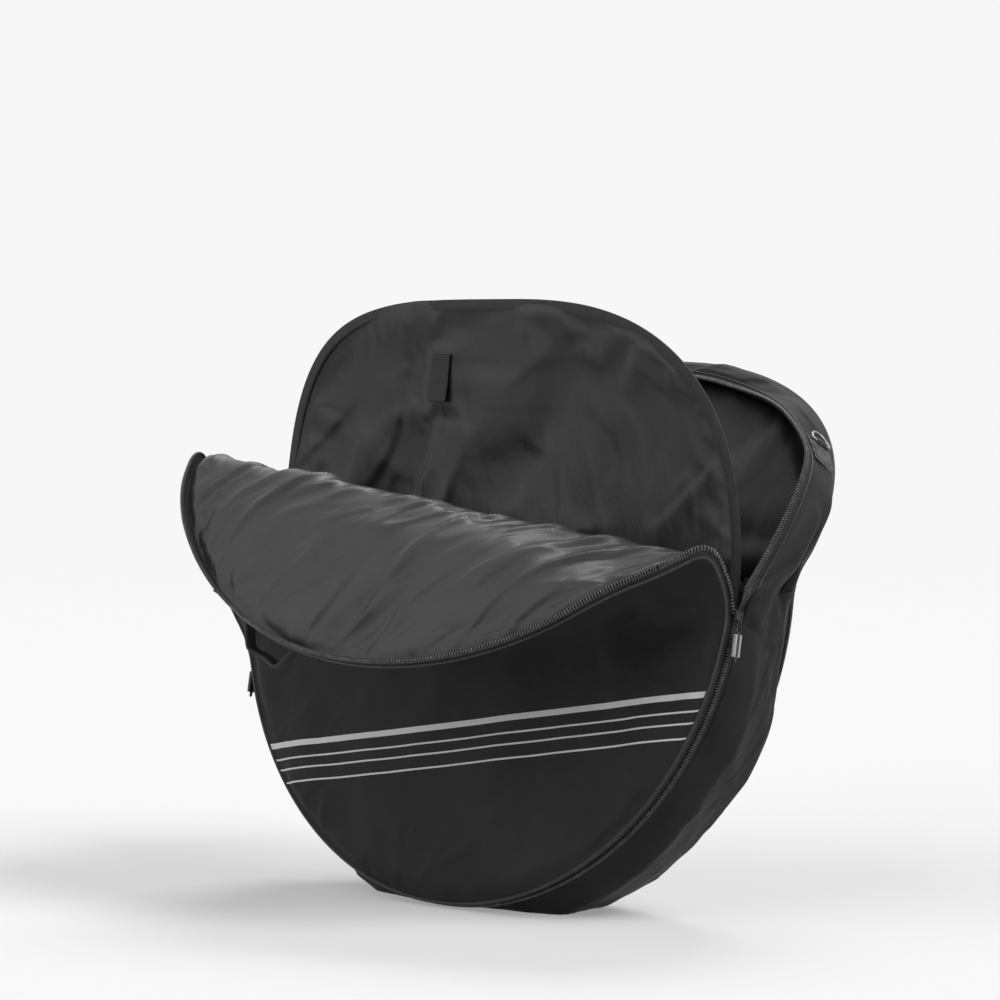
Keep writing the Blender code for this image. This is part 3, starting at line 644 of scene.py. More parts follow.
class Nodes:
    """A node tree, put together node by node."""

    def __init__(self, tree):
        self.tree = tree

    def node(self, kind, settings=None, sockets=None, output=0):
        made = self.tree.nodes.new("ShaderNode" + kind)
        for name, value in (settings or {}).items():
            setattr(made, name, value)
        for name, value in (sockets or {}).items():
            self.feed(made.inputs[name], value)
        return Value(self, made.outputs[output])

    def feed(self, socket, value):
        if isinstance(value, Value):
            self.tree.links.new(value.socket, socket)
        else:
            socket.default_value = value

    def place(self):
        return self.node("TexCoord", output="Object")

    def pattern(self):
        return self.node("UVMap", {"uv_map": "Cloth"})

    def halves(self, vector):
        node = self.node("SeparateXYZ", {}, {0: vector}).socket.node
        return Value(self, node.outputs[0]), Value(self, node.outputs[1])

    def stretched(self, vector, turn, scale):
        sockets = {"Vector": vector, "Rotation": (0, 0, math.radians(turn)), "Scale": (*scale, 1)}
        return self.node("Mapping", {"vector_type": "TEXTURE"}, sockets)

    def noise(self, vector, scale, detail, rough):
        sockets = {"Vector": vector, "Scale": scale, "Detail": detail, "Roughness": rough}
        return self.node("TexNoise", {}, sockets)

    def ramp(self, value, low, high):
        sockets = {"Value": value, "From Min": low, "From Max": high}
        return self.node("MapRange", {"interpolation_type": "SMOOTHSTEP"}, sockets)

    def mixed(self, share, first, second):
        """One colour over another, by a share."""
        colours = [each if isinstance(each, Value) else (*each, 1) for each in (first, second)]
        sockets = dict(zip((0, 6, 7), (share, *colours)))
        return self.node("Mix", {"data_type": "RGBA"}, sockets, output=2)

    def threads(self, vector, pitch, other_pitch):
        """Waves along a pattern and across it."""
        u, v = self.halves(vector)
        turns = 2 * math.pi / pitch, 2 * math.pi / other_pitch
        return (u * turns[0]).math("SINE"), (v * turns[1]).math("SINE")

    def weave(self, vector, pitch):
        """Threads over and under each other, one for each half pitch."""
        along, across = self.threads(vector, pitch, pitch)
        return along * across


SOCKETS = {
    "specular": "Specular IOR Level",
    "sheen": "Sheen Weight",
    "sheen_roughness": "Sheen Roughness",
    "metallic": "Metallic",
}


class Finish(Nodes):
    """A material's node tree."""

    def __init__(self, name, **constants):
        self.material = bpy.data.materials.new(name)
        self.material.use_nodes = True
        super().__init__(self.material.node_tree)
        self.shader = self.tree.nodes["Principled BSDF"]
        for words, value in constants.items():
            self.shader.inputs[SOCKETS[words]].default_value = value

    def done(self, colour, roughness, *relief):
        """Feeds the shader, with one Bump for each (height, distance, strength)."""
        self.feed(self.shader.inputs["Base Color"], colour)
        self.feed(self.shader.inputs["Roughness"], roughness)
        below = {}
        for height, distance, strength in relief:
            sockets = {"Height": height, "Distance": distance, "Strength": strength, **below}
            below = {"Normal": self.node("Bump", {}, sockets)}
        for normal in below.values():
            self.feed(self.shader.inputs["Normal"], normal)
        return self.material


def grey(level, tint=0.0):
    """A grey of this linear level, a little cooler by the tint."""
    return (level * (1 - tint), level, level * (1 + tint))


# Printed lines on the front cloth: (height on the pattern, half width)
STRIPE_SLOPE = 0.16
STRIPES = ((-0.148, 0.0032), (-0.164, 0.0010), (-0.176, 0.0010), (-0.191, 0.0010))
PRINT = grey(0.74)
COOL = 0.02


def nylon(name, stripes=False):
    """Dull woven outer cloth, a little uneven, with printed lines if asked."""
    made = Finish(name, specular=0.12, sheen=0.02, sheen_roughness=0.5)
    cloth = made.pattern()
    clouds = made.noise(cloth, scale=9.0, detail=4.0, rough=0.55)
    lint = made.noise(cloth, scale=900.0, detail=2.0, rough=0.6)
    turned = made.stretched(cloth, 35, (1.0, 0.5))
    crumple = made.noise(turned, scale=26.0, detail=4.0, rough=0.55)
    share = made.ramp(clouds + lint * 0.25, low=0.42, high=0.80)
    colour = made.mixed(share, grey(0.018), grey(0.028, COOL))
    roughness = 0.50 + clouds * 0.16
    if stripes:
        x, y = made.halves(cloth)
        level = y - x * STRIPE_SLOPE
        lines = [
            (level - middle).math("ABSOLUTE").math("LESS_THAN", half) for middle, half in STRIPES
        ]
        printed = lines[0]
        for line in lines[1:]:
            printed = printed.math("MAXIMUM", line)
        worn = made.ramp(lint + clouds * 0.3, low=0.35, high=0.50)
        colour = made.mixed(printed * (0.86 + worn * 0.14), colour, PRINT)
        roughness = roughness - printed * 0.12
    weave = made.weave(cloth, 0.0011)
    return made.done(colour, roughness, (crumple, 0.004, 0.30), (weave, 0.00012, 0.35))


def satin(name, dark, light, specular):
    """Smooth lining cloth with fine creases."""
    made = Finish(name, specular=specular, sheen=0.03, sheen_roughness=0.35)
    cloth = made.pattern()
    clouds = made.noise(cloth, scale=12.0, detail=3.0, rough=0.5)
    turned = made.stretched(cloth, 103, (3.4, 1.0))
    creases = made.noise(turned, scale=34.0, detail=5.0, rough=0.60)
    fine = made.noise(turned, scale=150.0, detail=3.0, rough=0.55)
    colour = made.mixed(made.ramp(clouds, low=0.35, high=0.65), grey(dark), grey(light, COOL))
    weave = made.weave(cloth, 0.0009)
    relief = (creases, 0.0035, 0.36), (fine, 0.0008, 0.22), (weave, 0.00006, 0.20)
    return made.done(colour, 0.29 + clouds * 0.12 + fine * 0.05, *relief)


def corded(name, level, pitch, rough):
    """Ribbed trim: cross ribs along the pattern's first direction."""
    made = Finish(name, specular=0.35)
    cloth = made.pattern()
    ribs, threads = made.threads(cloth, pitch, pitch * 0.8)
    wear = made.noise(cloth, scale=60.0, detail=4.0, rough=0.6)
    colour = made.mixed(made.ramp(wear, low=0.35, high=0.75), grey(level), grey(level * 1.9))
    return made.done(colour, rough + wear * 0.15, (ribs * 0.7 + threads * 0.3, 0.0003, 0.7))


def worn_webbing(name, dark, light):
    """Webbing that has gone grey along its ribs."""
    made = Finish(name, specular=0.3)
    cloth = made.pattern()
    ribs, threads = made.threads(cloth, 0.0024, 0.0016)
    wear = made.noise(cloth, scale=110.0, detail=5.0, rough=0.7)
    share = made.ramp(wear + ribs * 0.06, low=0.34, high=0.58)
    colour = made.mixed(share, grey(dark), grey(light))
    return made.done(colour, 0.70 + wear * 0.2, (ribs * 0.6 + threads * 0.4 + wear, 0.0005, 0.8))


def hard(name, spots, edges, levels, gloss, relief, grain=None, **constants):
    """Metal or plastic with worn spots. Spots and grain are noises, the edges are where
    the spots fade, and gloss is the roughness and what the spots add to it."""
    made = Finish(name, **constants)
    place = made.place()
    worn = made.noise(place, *spots)
    colour = made.mixed(made.ramp(worn, *edges), *map(grey, levels))
    height = made.noise(place, *grain) if grain else worn
    return made.done(colour, gloss[0] + worn * gloss[1], (height, *relief))


def moulded_grip(name, *levels):
    return hard(
        name, (260.0, 4.0, 0.6), (0.42, 0.78), levels, (0.42, 0.2), (0.0001, 0.3),
        grain=(2200.0, 2.0, 0.5), specular=0.45,
    )


NYLON = nylon("black_nylon")
STRIPED = nylon("black_nylon_printed", True)
SATIN = satin("lining_satin", 0.024, 0.034, 0.30)
DIVIDER_SATIN = satin("divider_satin", 0.015, 0.024, 0.30)
# The back lining is the same satin as the front lining, with painted shade: darker and less
# shiny, for the shadowed inside of the hood and the back.
SHADED_BACK_SATIN = satin("back_lining_satin_painted_shade", 0.012, 0.019, 0.14)
PIPING = corded("piping_cord", 0.020, 0.0014, 0.34)
TAPE = corded("zip_tape", 0.010, 0.0018, 0.62)
COIL = hard(
    "zip_coil", (160.0, 3.0, 0.6), (0.40, 0.75), (0.055, 0.140), (0.22, 0.20), (0.0003, 0.2),
    specular=0.5,
)
WEBBING = corded("black_webbing", 0.013, 0.0024, 0.58)
WORN = worn_webbing("worn_webbing", 0.024, 0.150)
BINDING = corded("edge_binding", 0.016, 0.0011, 0.50)
THREAD = corded("sewing_thread", 0.030, 0.0010, 0.50)
STEEL = hard(
    "dark_metal", (420.0, 4.0, 0.7), (0.45, 0.72), (0.040, 0.150), (0.30, 0.25), (0.0002, 0.25),
    metallic=0.85, specular=0.5,
)
RING_STEEL = hard(
    "ring_wire", (300.0, 4.0, 0.7), (0.35, 0.75), (0.22, 0.42), (0.24, 0.25), (0.0002, 0.2),
    metallic=1.0, specular=0.5,
)
GRIP = moulded_grip("pale_grip", 0.46, 0.26)
DARK_GRIP = moulded_grip("dark_grip", 0.040, 0.020)


# ---- Where things bend


def front_bend(lower_body, upper_body, right, left, _, half):
    """The bodies on both sides of a crease, and the points that the bend runs between."""
    middle, _, up = crease_line(right, left)
    ends = folded_front(np.array((middle - up * half, middle + up * half)), np.zeros(2))
    return lower_body, upper_body, *map(tuple, ends)


HOOD_BEND_FROM, HOOD_BEND_TO = 0.345, 0.450
HOOD_BEND = ("bag", "hood", (0, CREASE_Y, HOOD_BEND_FROM), (0, CREASE_Y, HOOD_BEND_TO))

# Stretches of the front cloth: the bend each lies over, and the strips it stands for
FRONT_PARTS = (
    ("lower", front_bend("bag", "yoke", *YOKE), ("front_panel",)),
    ("middle", front_bend("yoke", "shoulder", *SHOULDER), ("yoke",)),
    ("upper", front_bend("shoulder", "flap", *FLAP), ("shoulder", "flap")),
)


def front_part(flat):
    """Which of the stretches a place on the pattern belongs to."""
    return (above(flat, *MID_YOKE) >= 0).astype(int) + (above(flat, *MID_SHOULDER) >= 0)


# ---- Front cloth and lining

OUTER_CELLS = 92
LINING_CELLS = 116
OUTER_T = 0.0010
LINING_T = 0.0006
EDGE_ROLL = 0.016
SEWN_EDGE = 0.004
OUTER_SINK = 0.0016
OUTER_CROWN = 0.0022
LINING_SEAM = 0.0040
LINING_SINK = 0.0015
OUTER_REACH = 0.3362
LINING_REACH = 0.3350
HANDLE_CLEAR = (0.075, 0.030)  # no folds within this reach of the handle, fading over this
BORDER_FOLDS = (0.20, 0.10)  # puckers begin this far from the middle, growing over this
OUTER_FOLD_EDGE = 0.020
LINING_FOLD_EDGE = 0.030
FAN_AT = (-0.09, 0.022)  # the fan of fine folds: aside, and below the crest
FAN_SIZE = (0.20, 0.075)
FAN_FULL = 1.25
FAN_ABOVE = 0.05  # how far over the crest the fan still changes
BEND_REACH = 0.060  # below the crest, over which the long folds turn down the flap
BEND_SIDE = (-0.32, 0.22)
BEND_SLANT = 0.06
FAN_SPREAD = 0.80
CREST_PUFF = 0.0065
CREST_BELOW = (0.012, 0.035)
CREST_SIDE = (0.14, 0.24)


def clear_of_handle(flat):
    near, fade = HANDLE_CLEAR
    return smooth((lengths(flat - polar(HANDLE_ANGLE, HANDLE_R)) - near) / fade)


def edge_fade(flat, reach, width):
    return smooth((reach - lengths(flat)) / width)


def outer_height(flat):
    """How the padded cloth stands off its solids, from its rolled edge inwards."""
    roll = edge_fade(flat, OUTER_REACH, EDGE_ROLL)
    free = roll * clear_of_handle(flat)
    return OUTER_SINK * (roll - 1) + free * (OUTER_CROWN + waves(flat, *OUTER_SWELLS))


def outer_folds(flat):
    """Puckers along the seam of the outer cloth, and a few faint creases."""
    reach = lengths(flat)
    turn = np.arctan2(flat[:, 1], flat[:, 0])
    round_it = np.column_stack((turn * OUTER_REACH, reach))
    border = smooth((reach - BORDER_FOLDS[0]) / BORDER_FOLDS[1])
    free = edge_fade(flat, OUTER_REACH, OUTER_FOLD_EDGE) * clear_of_handle(flat)
    return free * (border * waves(round_it, OUTER_PUCKERS) + waves(flat, OUTER_CREASES))


def fanned(flat):
    """The pattern, warped so that upright lines fan out and turn off at the crest."""
    below = np.maximum(above(flat, *SHOULDER[:2]), -FAN_ABOVE)
    turning = BEND_REACH * (1 - np.exp(-below / BEND_REACH))
    turning *= smooth((flat[:, 0] - BEND_SIDE[0]) / BEND_SIDE[1])
    x = flat[:, 0] + turning + BEND_SLANT * below
    return np.column_stack((x * (1 + FAN_SPREAD * below), flat[:, 1]))


def lining_height(flat):
    """The lining's depth, its broad soft swells, and the padding up at the crest."""
    roll = edge_fade(flat, LINING_REACH, EDGE_ROLL)
    below = above(flat, *SHOULDER[:2]) - CREST_BELOW[0]
    puff = np.exp(-((below / CREST_BELOW[1]) ** 2))
    puff *= CREST_PUFF * smooth((CREST_SIDE[0] - flat[:, 0]) / CREST_SIDE[1])
    swell = PANEL_T - LINING_SINK - LINING_SEAM + waves(fanned(flat), LINING_SWELL) + puff
    return -(LINING_SEAM + roll * swell)


def lining_folds(flat):
    """Its crisp folds: long ones down the flap, and a fan of fine ones at the crest."""
    roll = edge_fade(flat, LINING_REACH, LINING_FOLD_EDGE)
    from_crest = np.abs(above(flat, *SHOULDER[:2]) - FAN_AT[1]) / FAN_SIZE[1]
    aside = np.abs(flat[:, 0] - FAN_AT[0]) / FAN_SIZE[0]
    near = smooth(FAN_FULL - np.hypot(from_crest, aside))
    folds = waves(fanned(flat), *LINING_FOLDS) + near * waves(flat, LINING_FAN)
    return roll * (folds + (1 - roll) * waves(flat, LINING_PUCKERS))


def front_sheet(name, slot, mat, thick, layers, cells, reach, height, folds, growth, most):
    """A round sheet over the front, buckled between its seams, then its three stretches."""

    def shape(u, v):
        flat = round_pattern(u, v) * reach
        return flat, folded_front(flat, height(flat))

    bm = patterned_grid(cells, cells, shape, slot == "lining")
    whole = new_piece(name, bm, mat)
    buckled(whole, lengths(mesh_pattern(whole.data)) > reach - SEWN_EDGE, growth, most)
    refined(whole)
    pressed(whole, folds)
    for index, (part, bend, strips) in enumerate(FRONT_PARTS):
        piece = stretch_of(whole, f"{name}_{part}", lambda flat: front_part(flat) == index)
        wall(piece, thick)
        carried(piece, slot, bend, *(f"{strip}_{layer}" for strip in strips for layer in layers))
    bpy.data.objects.remove(whole)


def front_sheets():
    front_sheet(
        "front_cloth", "nylon", STRIPED, OUTER_T, ("outer", "foam"), OUTER_CELLS, OUTER_REACH,
        outer_height, outer_folds, growth=0.006, most=0.004,
    )
    front_sheet(
        "front_lining", "lining", SATIN, LINING_T, ("lining",), LINING_CELLS, LINING_REACH,
        lining_height, lining_folds, growth=0.016, most=0.006,
    )


# ---- Front rim: piping, tape and coil

TAPE_OUT = TAPE_R - PANEL_R
TAPE_STEP = 0.005
TAPE_TUCK = 0.002
CORD_STEP = 0.004
ZIP_NEAR = ZIP_Z + ZIP_SLOT / 2
ZIP_FAR = ZIP_Z - ZIP_SLOT / 2
ZIP_TAPE_W = 0.011
ZIP_TAPE_ENDS = (math.radians(176.5), math.radians(363.5))
COIL_PITCH = 0.0029
COIL_SIZE = (0.0014, 0.0052, 0.0028)
COIL_EASE = 0.00034
COIL_OUT = TAPE_OUT + TAPE_T + CLEAR + TEETH_T / 2
COIL_GAP = 0.0004
LOCKED_W = 0.0036
LOCKED_IN = 0.0009  # how far the closed rows reach into each other


def front_rim_at(angle, across, out):
    return folded_front(polar(angle, PANEL_R + out), across)


def rigid_rim_at(angle, across, out):
    return laid(FRONT, np.column_stack((polar(angle, PANEL_R + out), across)))


RIM_FROM, RIM_TO, RIM_SAMPLES = math.radians(-20), math.radians(540), 1600
RIM_ANGLES = np.linspace(RIM_FROM, RIM_TO, RIM_SAMPLES)
FRONT_SEAM = seam_on(front_rim_at, RIM_ANGLES)
RIGID_SEAM = seam_on(rigid_rim_at, RIM_ANGLES)
LOWER_ENDS = (MID_YOKE[1], MID_YOKE[0] + 2 * math.pi)

# Rim angles of each stretch, the same with the closed zip left out, and its solids' names
RIM_PARTS = {
    "lower": ((LOWER_ENDS,), ()),
    "middle": (
        (MID_YOKE[:1] + MID_SHOULDER[:1], MID_SHOULDER[1:] + MID_YOKE[1:]),
        ("yoke_{}_right", "yoke_{}_left"),
    ),
    "upper": ((MID_SHOULDER,), ("shoulder_{}_right", "shoulder_{}_left", "flap_{}")),
}


def span_at(seam, angles):
    """A stretch of a seam's length, between two rim angles."""
    return tuple(np.interp(angles, RIM_ANGLES, seam.at))


def tooth_row(name, seam, span, near, width, start=0.0):
    """Coil turns whose zip side is at near, reaching the width away from it."""
    block = bead((COIL_SIZE[0], abs(width), COIL_SIZE[2]), COIL_EASE)
    offset = (near + width / 2, COIL_OUT)
    return repeated(name, seam, block, COIL_PITCH, COIL, offset, span, start)


def front_trims():
    """Piping, zip tape and coil along the front rim, in the cloth's stretches."""
    piping = round_section(PIPING_R, PIPING_Z, PIPE_RING_R - PANEL_R)
    tape = flat_section(ZIP_NEAR, TAPE_TOP + TAPE_TUCK, TAPE_OUT, TAPE_OUT + TAPE_T)

    def cord(name, span):
        return sweep(name, FRONT_SEAM, piping, CORD_STEP, PIPING, span)

    def band(name, span):
        return sweep(name, FRONT_SEAM, tape, TAPE_STEP, TAPE, span)

    def coil(name, span):
        return tooth_row(name, FRONT_SEAM, span, ZIP_NEAR - COIL_GAP, COIL_SIZE[1])

    for part, bend, _ in FRONT_PARTS:
        whole, names = RIM_PARTS[part]
        cord_nodes = [name.format("piping") for name in names] or ["front_piping"]
        tape_nodes = [name.format("zip") for name in names] or ["zip_tape_front"]
        parted = whole if names else ((MID_YOKE[1], SLIDER_LEFT), (SLIDER_RIGHT, LOWER_ENDS[1]))
        for kind, slot, make, ends, nodes in (
            ("piping", "piping", cord, whole, cord_nodes),
            ("tape", "zip_tape", band, whole, tape_nodes),
            ("coil", "zip_coil", coil, parted, ()),
        ):
            name = f"rim_{kind}_{part}"
            runs = [make(f"{name}_{i}", span_at(FRONT_SEAM, at)) for i, at in enumerate(ends)]
            carried(joined(name, runs), slot, bend, *nodes)


def closed_zip():
    """The locked stretch of the zip below the sliders, and the gusset's half of the tape."""
    span = span_at(RIGID_SEAM, (SLIDER_LEFT, SLIDER_RIGHT))
    near, far = ZIP_NEAR - LOCKED_IN, ZIP_FAR + LOCKED_IN
    row = tooth_row("zip_row_front", RIGID_SEAM, span, near, LOCKED_W)
    carried(row, "zip_coil", "bag", "zip_teeth_front")
    row = tooth_row("zip_row_gusset", RIGID_SEAM, span, far, -LOCKED_W, COIL_PITCH / 2)
    carried(row, "zip_coil", "bag", "zip_teeth_gusset")
    tape = flat_section(ZIP_FAR - ZIP_TAPE_W, ZIP_FAR, TAPE_OUT, TAPE_OUT + TAPE_T)
    span = span_at(RIGID_SEAM, ZIP_TAPE_ENDS)
    band = sweep("zip_band_gusset", RIGID_SEAM, tape, TAPE_STEP, TAPE, span)
    carried(band, "zip_tape", "bag", "zip_tape_gusset")


# ---- Gusset below the hood

GUSSET_COLUMNS, GUSSET_ROWS = 420, 40
GUSSET_FREE = 0.10  # share of the band's width over which its folds grow
GUSSET_BACK_Z = PIPING_R + 2 * CLEAR
MEET = 0.10  # sine of the turn over which panel and hood share an outline
OUTLINE_SAMPLES = 400
PLEAT_V = 0.72
PLEAT_DEEP = 0.016
PLEAT_DROP = 0.050
PLEAT_WIDE = (0.03, 0.08)


def hood_rim(share, out=0.0):
    """The slumped back panel's outline in the hood's frame, right to left."""
    turn = math.pi * share
    level = squarer(np.cos(turn), HOOD_SQUARE), np.maximum(np.sin(turn), 0) ** HOOD_SQUARE
    rim = np.column_stack(level)
    return rim * (HOOD_W, HOOD_H) + unit(rim) * out


def back_circle(turn):
    """The round lower panel's edge, from the middle of the crease."""
    return -CREASE_DROP * np.sin(turn) + np.sqrt(PANEL_R**2 - (CREASE_DROP * np.cos(turn)) ** 2)


def back_outline(turn):
    """How far the whole back panel reaches from the middle of its crease, by direction."""
    circle = back_circle(turn)
    rim = hood_rim(np.linspace(0, 1, OUTLINE_SAMPLES))
    hood_reach = np.interp(turn, np.arctan2(rim[:, 1], rim[:, 0]), lengths(rim))
    return circle + (hood_reach - circle) * smooth(np.sin(turn) / (2 * MEET) + 0.5)


def gusset_at(angle, v):
    """The band round the rim, front to back by v, with soft folds: pattern and place."""
    level = np.column_stack((polar(angle), 0 * angle))
    drop = SIDE_TOP - laid(FRONT, level * PANEL_R)[:, 2]
    full = CROWN_TOP_SHARE + (1 - CROWN_TOP_SHARE) * smooth(drop / CROWN_FADE)
    near = np.minimum(v, 1 - v)
    pattern = np.column_stack((angle * PANEL_R, v * FOOT_DEPTH))
    crown = GUSSET_CROWN * full * smooth(near / CROWN_SHARE)
    crown += smooth(near / GUSSET_FREE) * waves(pattern, *GUSSET_WAVES)
    high = 1 - smooth(np.maximum(drop, 0) / PLEAT_DROP)
    wide = PLEAT_WIDE[0] + PLEAT_WIDE[1] * high
    crown -= PLEAT_DEEP * high * np.exp(-(((v - PLEAT_V) / wide) ** 2))
    rim = level * (PIPE_RING_R + crown)[:, None]
    front = laid(FRONT, rim + (0, 0, GUSSET_FRONT_Z))
    reach = rim - (0, CREASE_DROP, 0)
    turn = np.arctan2(reach[:, 1], reach[:, 0])
    seam = back_outline(turn) - back_circle(turn)
    back = laid(BACK, rim + unit(reach) * seam[:, None] + (0, 0, GUSSET_BACK_Z))
    point = front + (back - front) * v[:, None]
    point[:, 2] = np.maximum(point[:, 2], 0)
    return pattern, point


def lower_gusset():
    def shape(u, v):
        return gusset_at(2 * math.pi * u, v)

    bm = patterned_grid(GUSSET_COLUMNS, GUSSET_ROWS, shape)
    bmesh.ops.remove_doubles(bm, verts=bm.verts[:], dist=WELD)
    everything = bm.verts[:] + bm.edges[:] + bm.faces[:]
    bmesh.ops.bisect_plane(
        bm, geom=everything, plane_co=(0, 0, SIDE_TOP), plane_no=(0, 0, 1), clear_outer=True
    )
    face_away(bm, FRONT[:3, 3])
    piece = wall(new_piece("gusset_cloth", bm, NYLON), GUSSET_T)
    carried(piece, "nylon", "bag", "gusset_lower")


# ---- Back panel and hood

BACK_CELLS = 92
BACK_SEAM_SAMPLES = 900
BACK_SEAM_DEPTH = 0.0022
BACK_MOST = 0.006

# The back's sheets: piece, slot, material, depth, crown, waves, growth and thickness
BACK_LAYERS = (
    ("back_cloth", "nylon", NYLON, 0.0, 0.0024, BACK_WAVES, 0.012, OUTER_T),
    (
        "back_lining_cloth", "lining", SHADED_BACK_SATIN, PANEL_T, -0.0010, BACK_LINING_WAVES, 0.026,
        LINING_T,
    ),
)


def back_sheets():
    """Outer cloth and lining of the whole back, bent over its crease."""
    for name, slot, mat, depth, crown, kinds, growth, thick in BACK_LAYERS:
        outer = slot == "nylon"

        def shape(u, v):
            disc = round_pattern(u, v)
            share = lengths(disc)
            turn = np.arctan2(disc[:, 1], disc[:, 0])
            turn = np.where(turn < -math.pi / 2, turn + 2 * math.pi, turn)
            reach = back_outline(turn)
            flat = disc * reach[:, None]
            roll = smooth((1 - share) * reach / EDGE_ROLL)
            middle = BACK_SEAM_DEPTH + (depth - BACK_SEAM_DEPTH) * roll
            return flat, folded_back(flat, middle - (crown + waves(flat, *kinds)) * roll)

        piece = new_piece(name, patterned_grid(BACK_CELLS, BACK_CELLS, shape, outer), mat)
        flat = mesh_pattern(piece.data)
        edge = back_outline(np.arctan2(flat[:, 1], flat[:, 0]))
        buckled(piece, lengths(flat) > edge - SEWN_EDGE, growth, BACK_MOST)
        refined(piece)
        wall(piece, thick)
        layers = ("outer", "foam") if outer else ("lining",)
        nodes = [f"{strip}_{layer}" for strip in ("back_panel", "hood") for layer in layers]
        carried(piece, slot, HOOD_BEND, *nodes)


def back_seam_at(turn, across, out):
    """The back panel's edge, by direction from the middle of its crease."""
    return folded_back(polar(turn, back_outline(turn) + out), across)


def back_piping():
    seam = seam_on(back_seam_at, np.linspace(-math.pi, math.pi, BACK_SEAM_SAMPLES))
    section = round_section(PIPING_R, 0, PIPE_RING_R - PANEL_R)
    cord = sweep("back_seam_piping", seam, section, CORD_STEP, PIPING, closed=True)
    carried(cord, "piping", HOOD_BEND, "back_piping", "hood_piping")


def band_width(side):
    return BAND_SIDE_W + (BAND_TOP_W - BAND_SIDE_W) * smooth(side)


def hood_band(u, v):
    """The hood's gusset from the back seam, v 0, to the zip's edge, v 1."""
    side = 2 * np.minimum(u, 1 - u)
    seam = hood_rim(u, CLEAR + PIPING_R)
    width = band_width(side)
    turned = smooth((side - TURN_START_SHARE) / TURN_SHARE)
    turn = BAND_SIDE_TURN + (BAND_TOP_TURN - BAND_SIDE_TURN) * turned
    reach = v * width
    inward = unit(np.array((0, HOOD_H * AIM_SHARE)) - seam)
    point = seam + inward * (reach * np.sin(turn))[:, None]
    flank = 1 - smooth((side - FLANK_START_SHARE) / FLANK_SHARE)
    flared = smooth(reach / BAND_FLARE_Z)
    x = point[:, 0] + np.sign(point[:, 0]) * BAND_FLARE * flared * flank
    skirt = smooth((reach - BAND_FLARE_Z) / (width - BAND_FLARE_Z))
    skirt = skirt * (1 - smooth(side / SKIRT_SHARE))
    y = point[:, 1] + FOLD_RISE * (1 - smooth(side / FOLD_SHARE)) - BAND_SKIRT * skirt
    over_panel = PANEL_T * flared * np.sin(turn)
    z = PIPING_R + CLEAR + GUSSET_T * flank + reach * np.cos(turn) + over_panel
    return np.column_stack((x, y, z))


BAND_STEP = 1 / 400


def band_place(u, v, lift):
    """A place on the hood's band, lifted off its outside."""
    low, high = np.clip(u - BAND_STEP, 0, 1), np.clip(u + BAND_STEP, 0, 1)
    along = hood_band(high, v) - hood_band(low, v)
    across = hood_band(u, v + BAND_STEP) - hood_band(u, v - BAND_STEP)
    out = unit(np.cross(along, across))
    return laid(HOOD, hood_band(u, v) + out * lift[:, None])


HOOD_COLUMNS, HOOD_ROWS = 380, 28
HOOD_FREE = 0.25  # share of the band's width over which its folds grow
GROOVE_AT = (1 - PLEAT_V) / 0.97
GROOVE_DEEP = PLEAT_DEEP * 0.6
GROOVE_WIDE = 0.10
GROOVE_SLANT = 2
GROOVE_REACH = 0.07
TUCK_SHARE = 0.10
TUCK_DROP = 0.085
TUCK_SINK = 0.0034
TUCK_START, TUCK_GROWTH = 0.35, 0.5
TUCK_EASE = 0.3
TUCK_PACE, TUCK_ZIP_PACE = 1.9, 1.7
ZIP_REACH = 0.0115
SEWN_DEPTH = 0.97
ZIP_DEPTH = 0.097
ZIP_PAST = 0.34
ZIP_EDGE_SAMPLES = 1100
ZIP_EDGE_TAPE = (-0.003, 0.0105, 0.0002, 0.0012)
ZIP_EDGE_COIL_OUT = 0.0024
ZIP_EDGE_CORD = (0.0011, -0.001, 0.0016)


def hood_share(u):
    """Where a share of the whole side lies on the hood's own band."""
    return np.clip((u - TUCK_SHARE) / (1 - 2 * TUCK_SHARE), 0, 1)


def hood_surface(u, wide, lift):
    """The hood's side. Past its ends it runs on down and into the lower gusset."""
    point = band_place(hood_share(u), wide, lift)
    past = np.clip(np.maximum(TUCK_SHARE - u, u - 1 + TUCK_SHARE) / TUCK_SHARE, 0, 1)
    drop = past * TUCK_DROP
    height = (point[:, 2] - drop - FRONT[2, 3]) / (PANEL_R * math.cos(FRONT_LEAN))
    angle = np.arcsin(np.clip(height, -1, 1))
    angle = np.where(u > 0.5, math.pi - angle, angle)
    sewn = np.minimum(wide / BAND_ZIP_SHARE, 1)
    zipped = np.maximum(wide - BAND_ZIP_SHARE, 0) * BAND_SIDE_W / ZIP_REACH
    _, tucked = gusset_at(angle, 1 - SEWN_DEPTH * sewn - ZIP_DEPTH * zipped)
    inward = (FRONT[:3, 3] - tucked) * (1, 0, 1)
    sink = TUCK_SINK * smooth((past - TUCK_START) / TUCK_GROWTH) - TUCK_EASE * lift * (1 - past)
    tucked += unit(inward) * sink[:, None]
    hanging = point - np.outer(drop, (0, 0, 1))
    share = smooth(past * (TUCK_PACE + TUCK_ZIP_PACE * sewn**3))[:, None]
    return np.where(past[:, None] > 0, hanging + (tucked - hanging) * share, point)


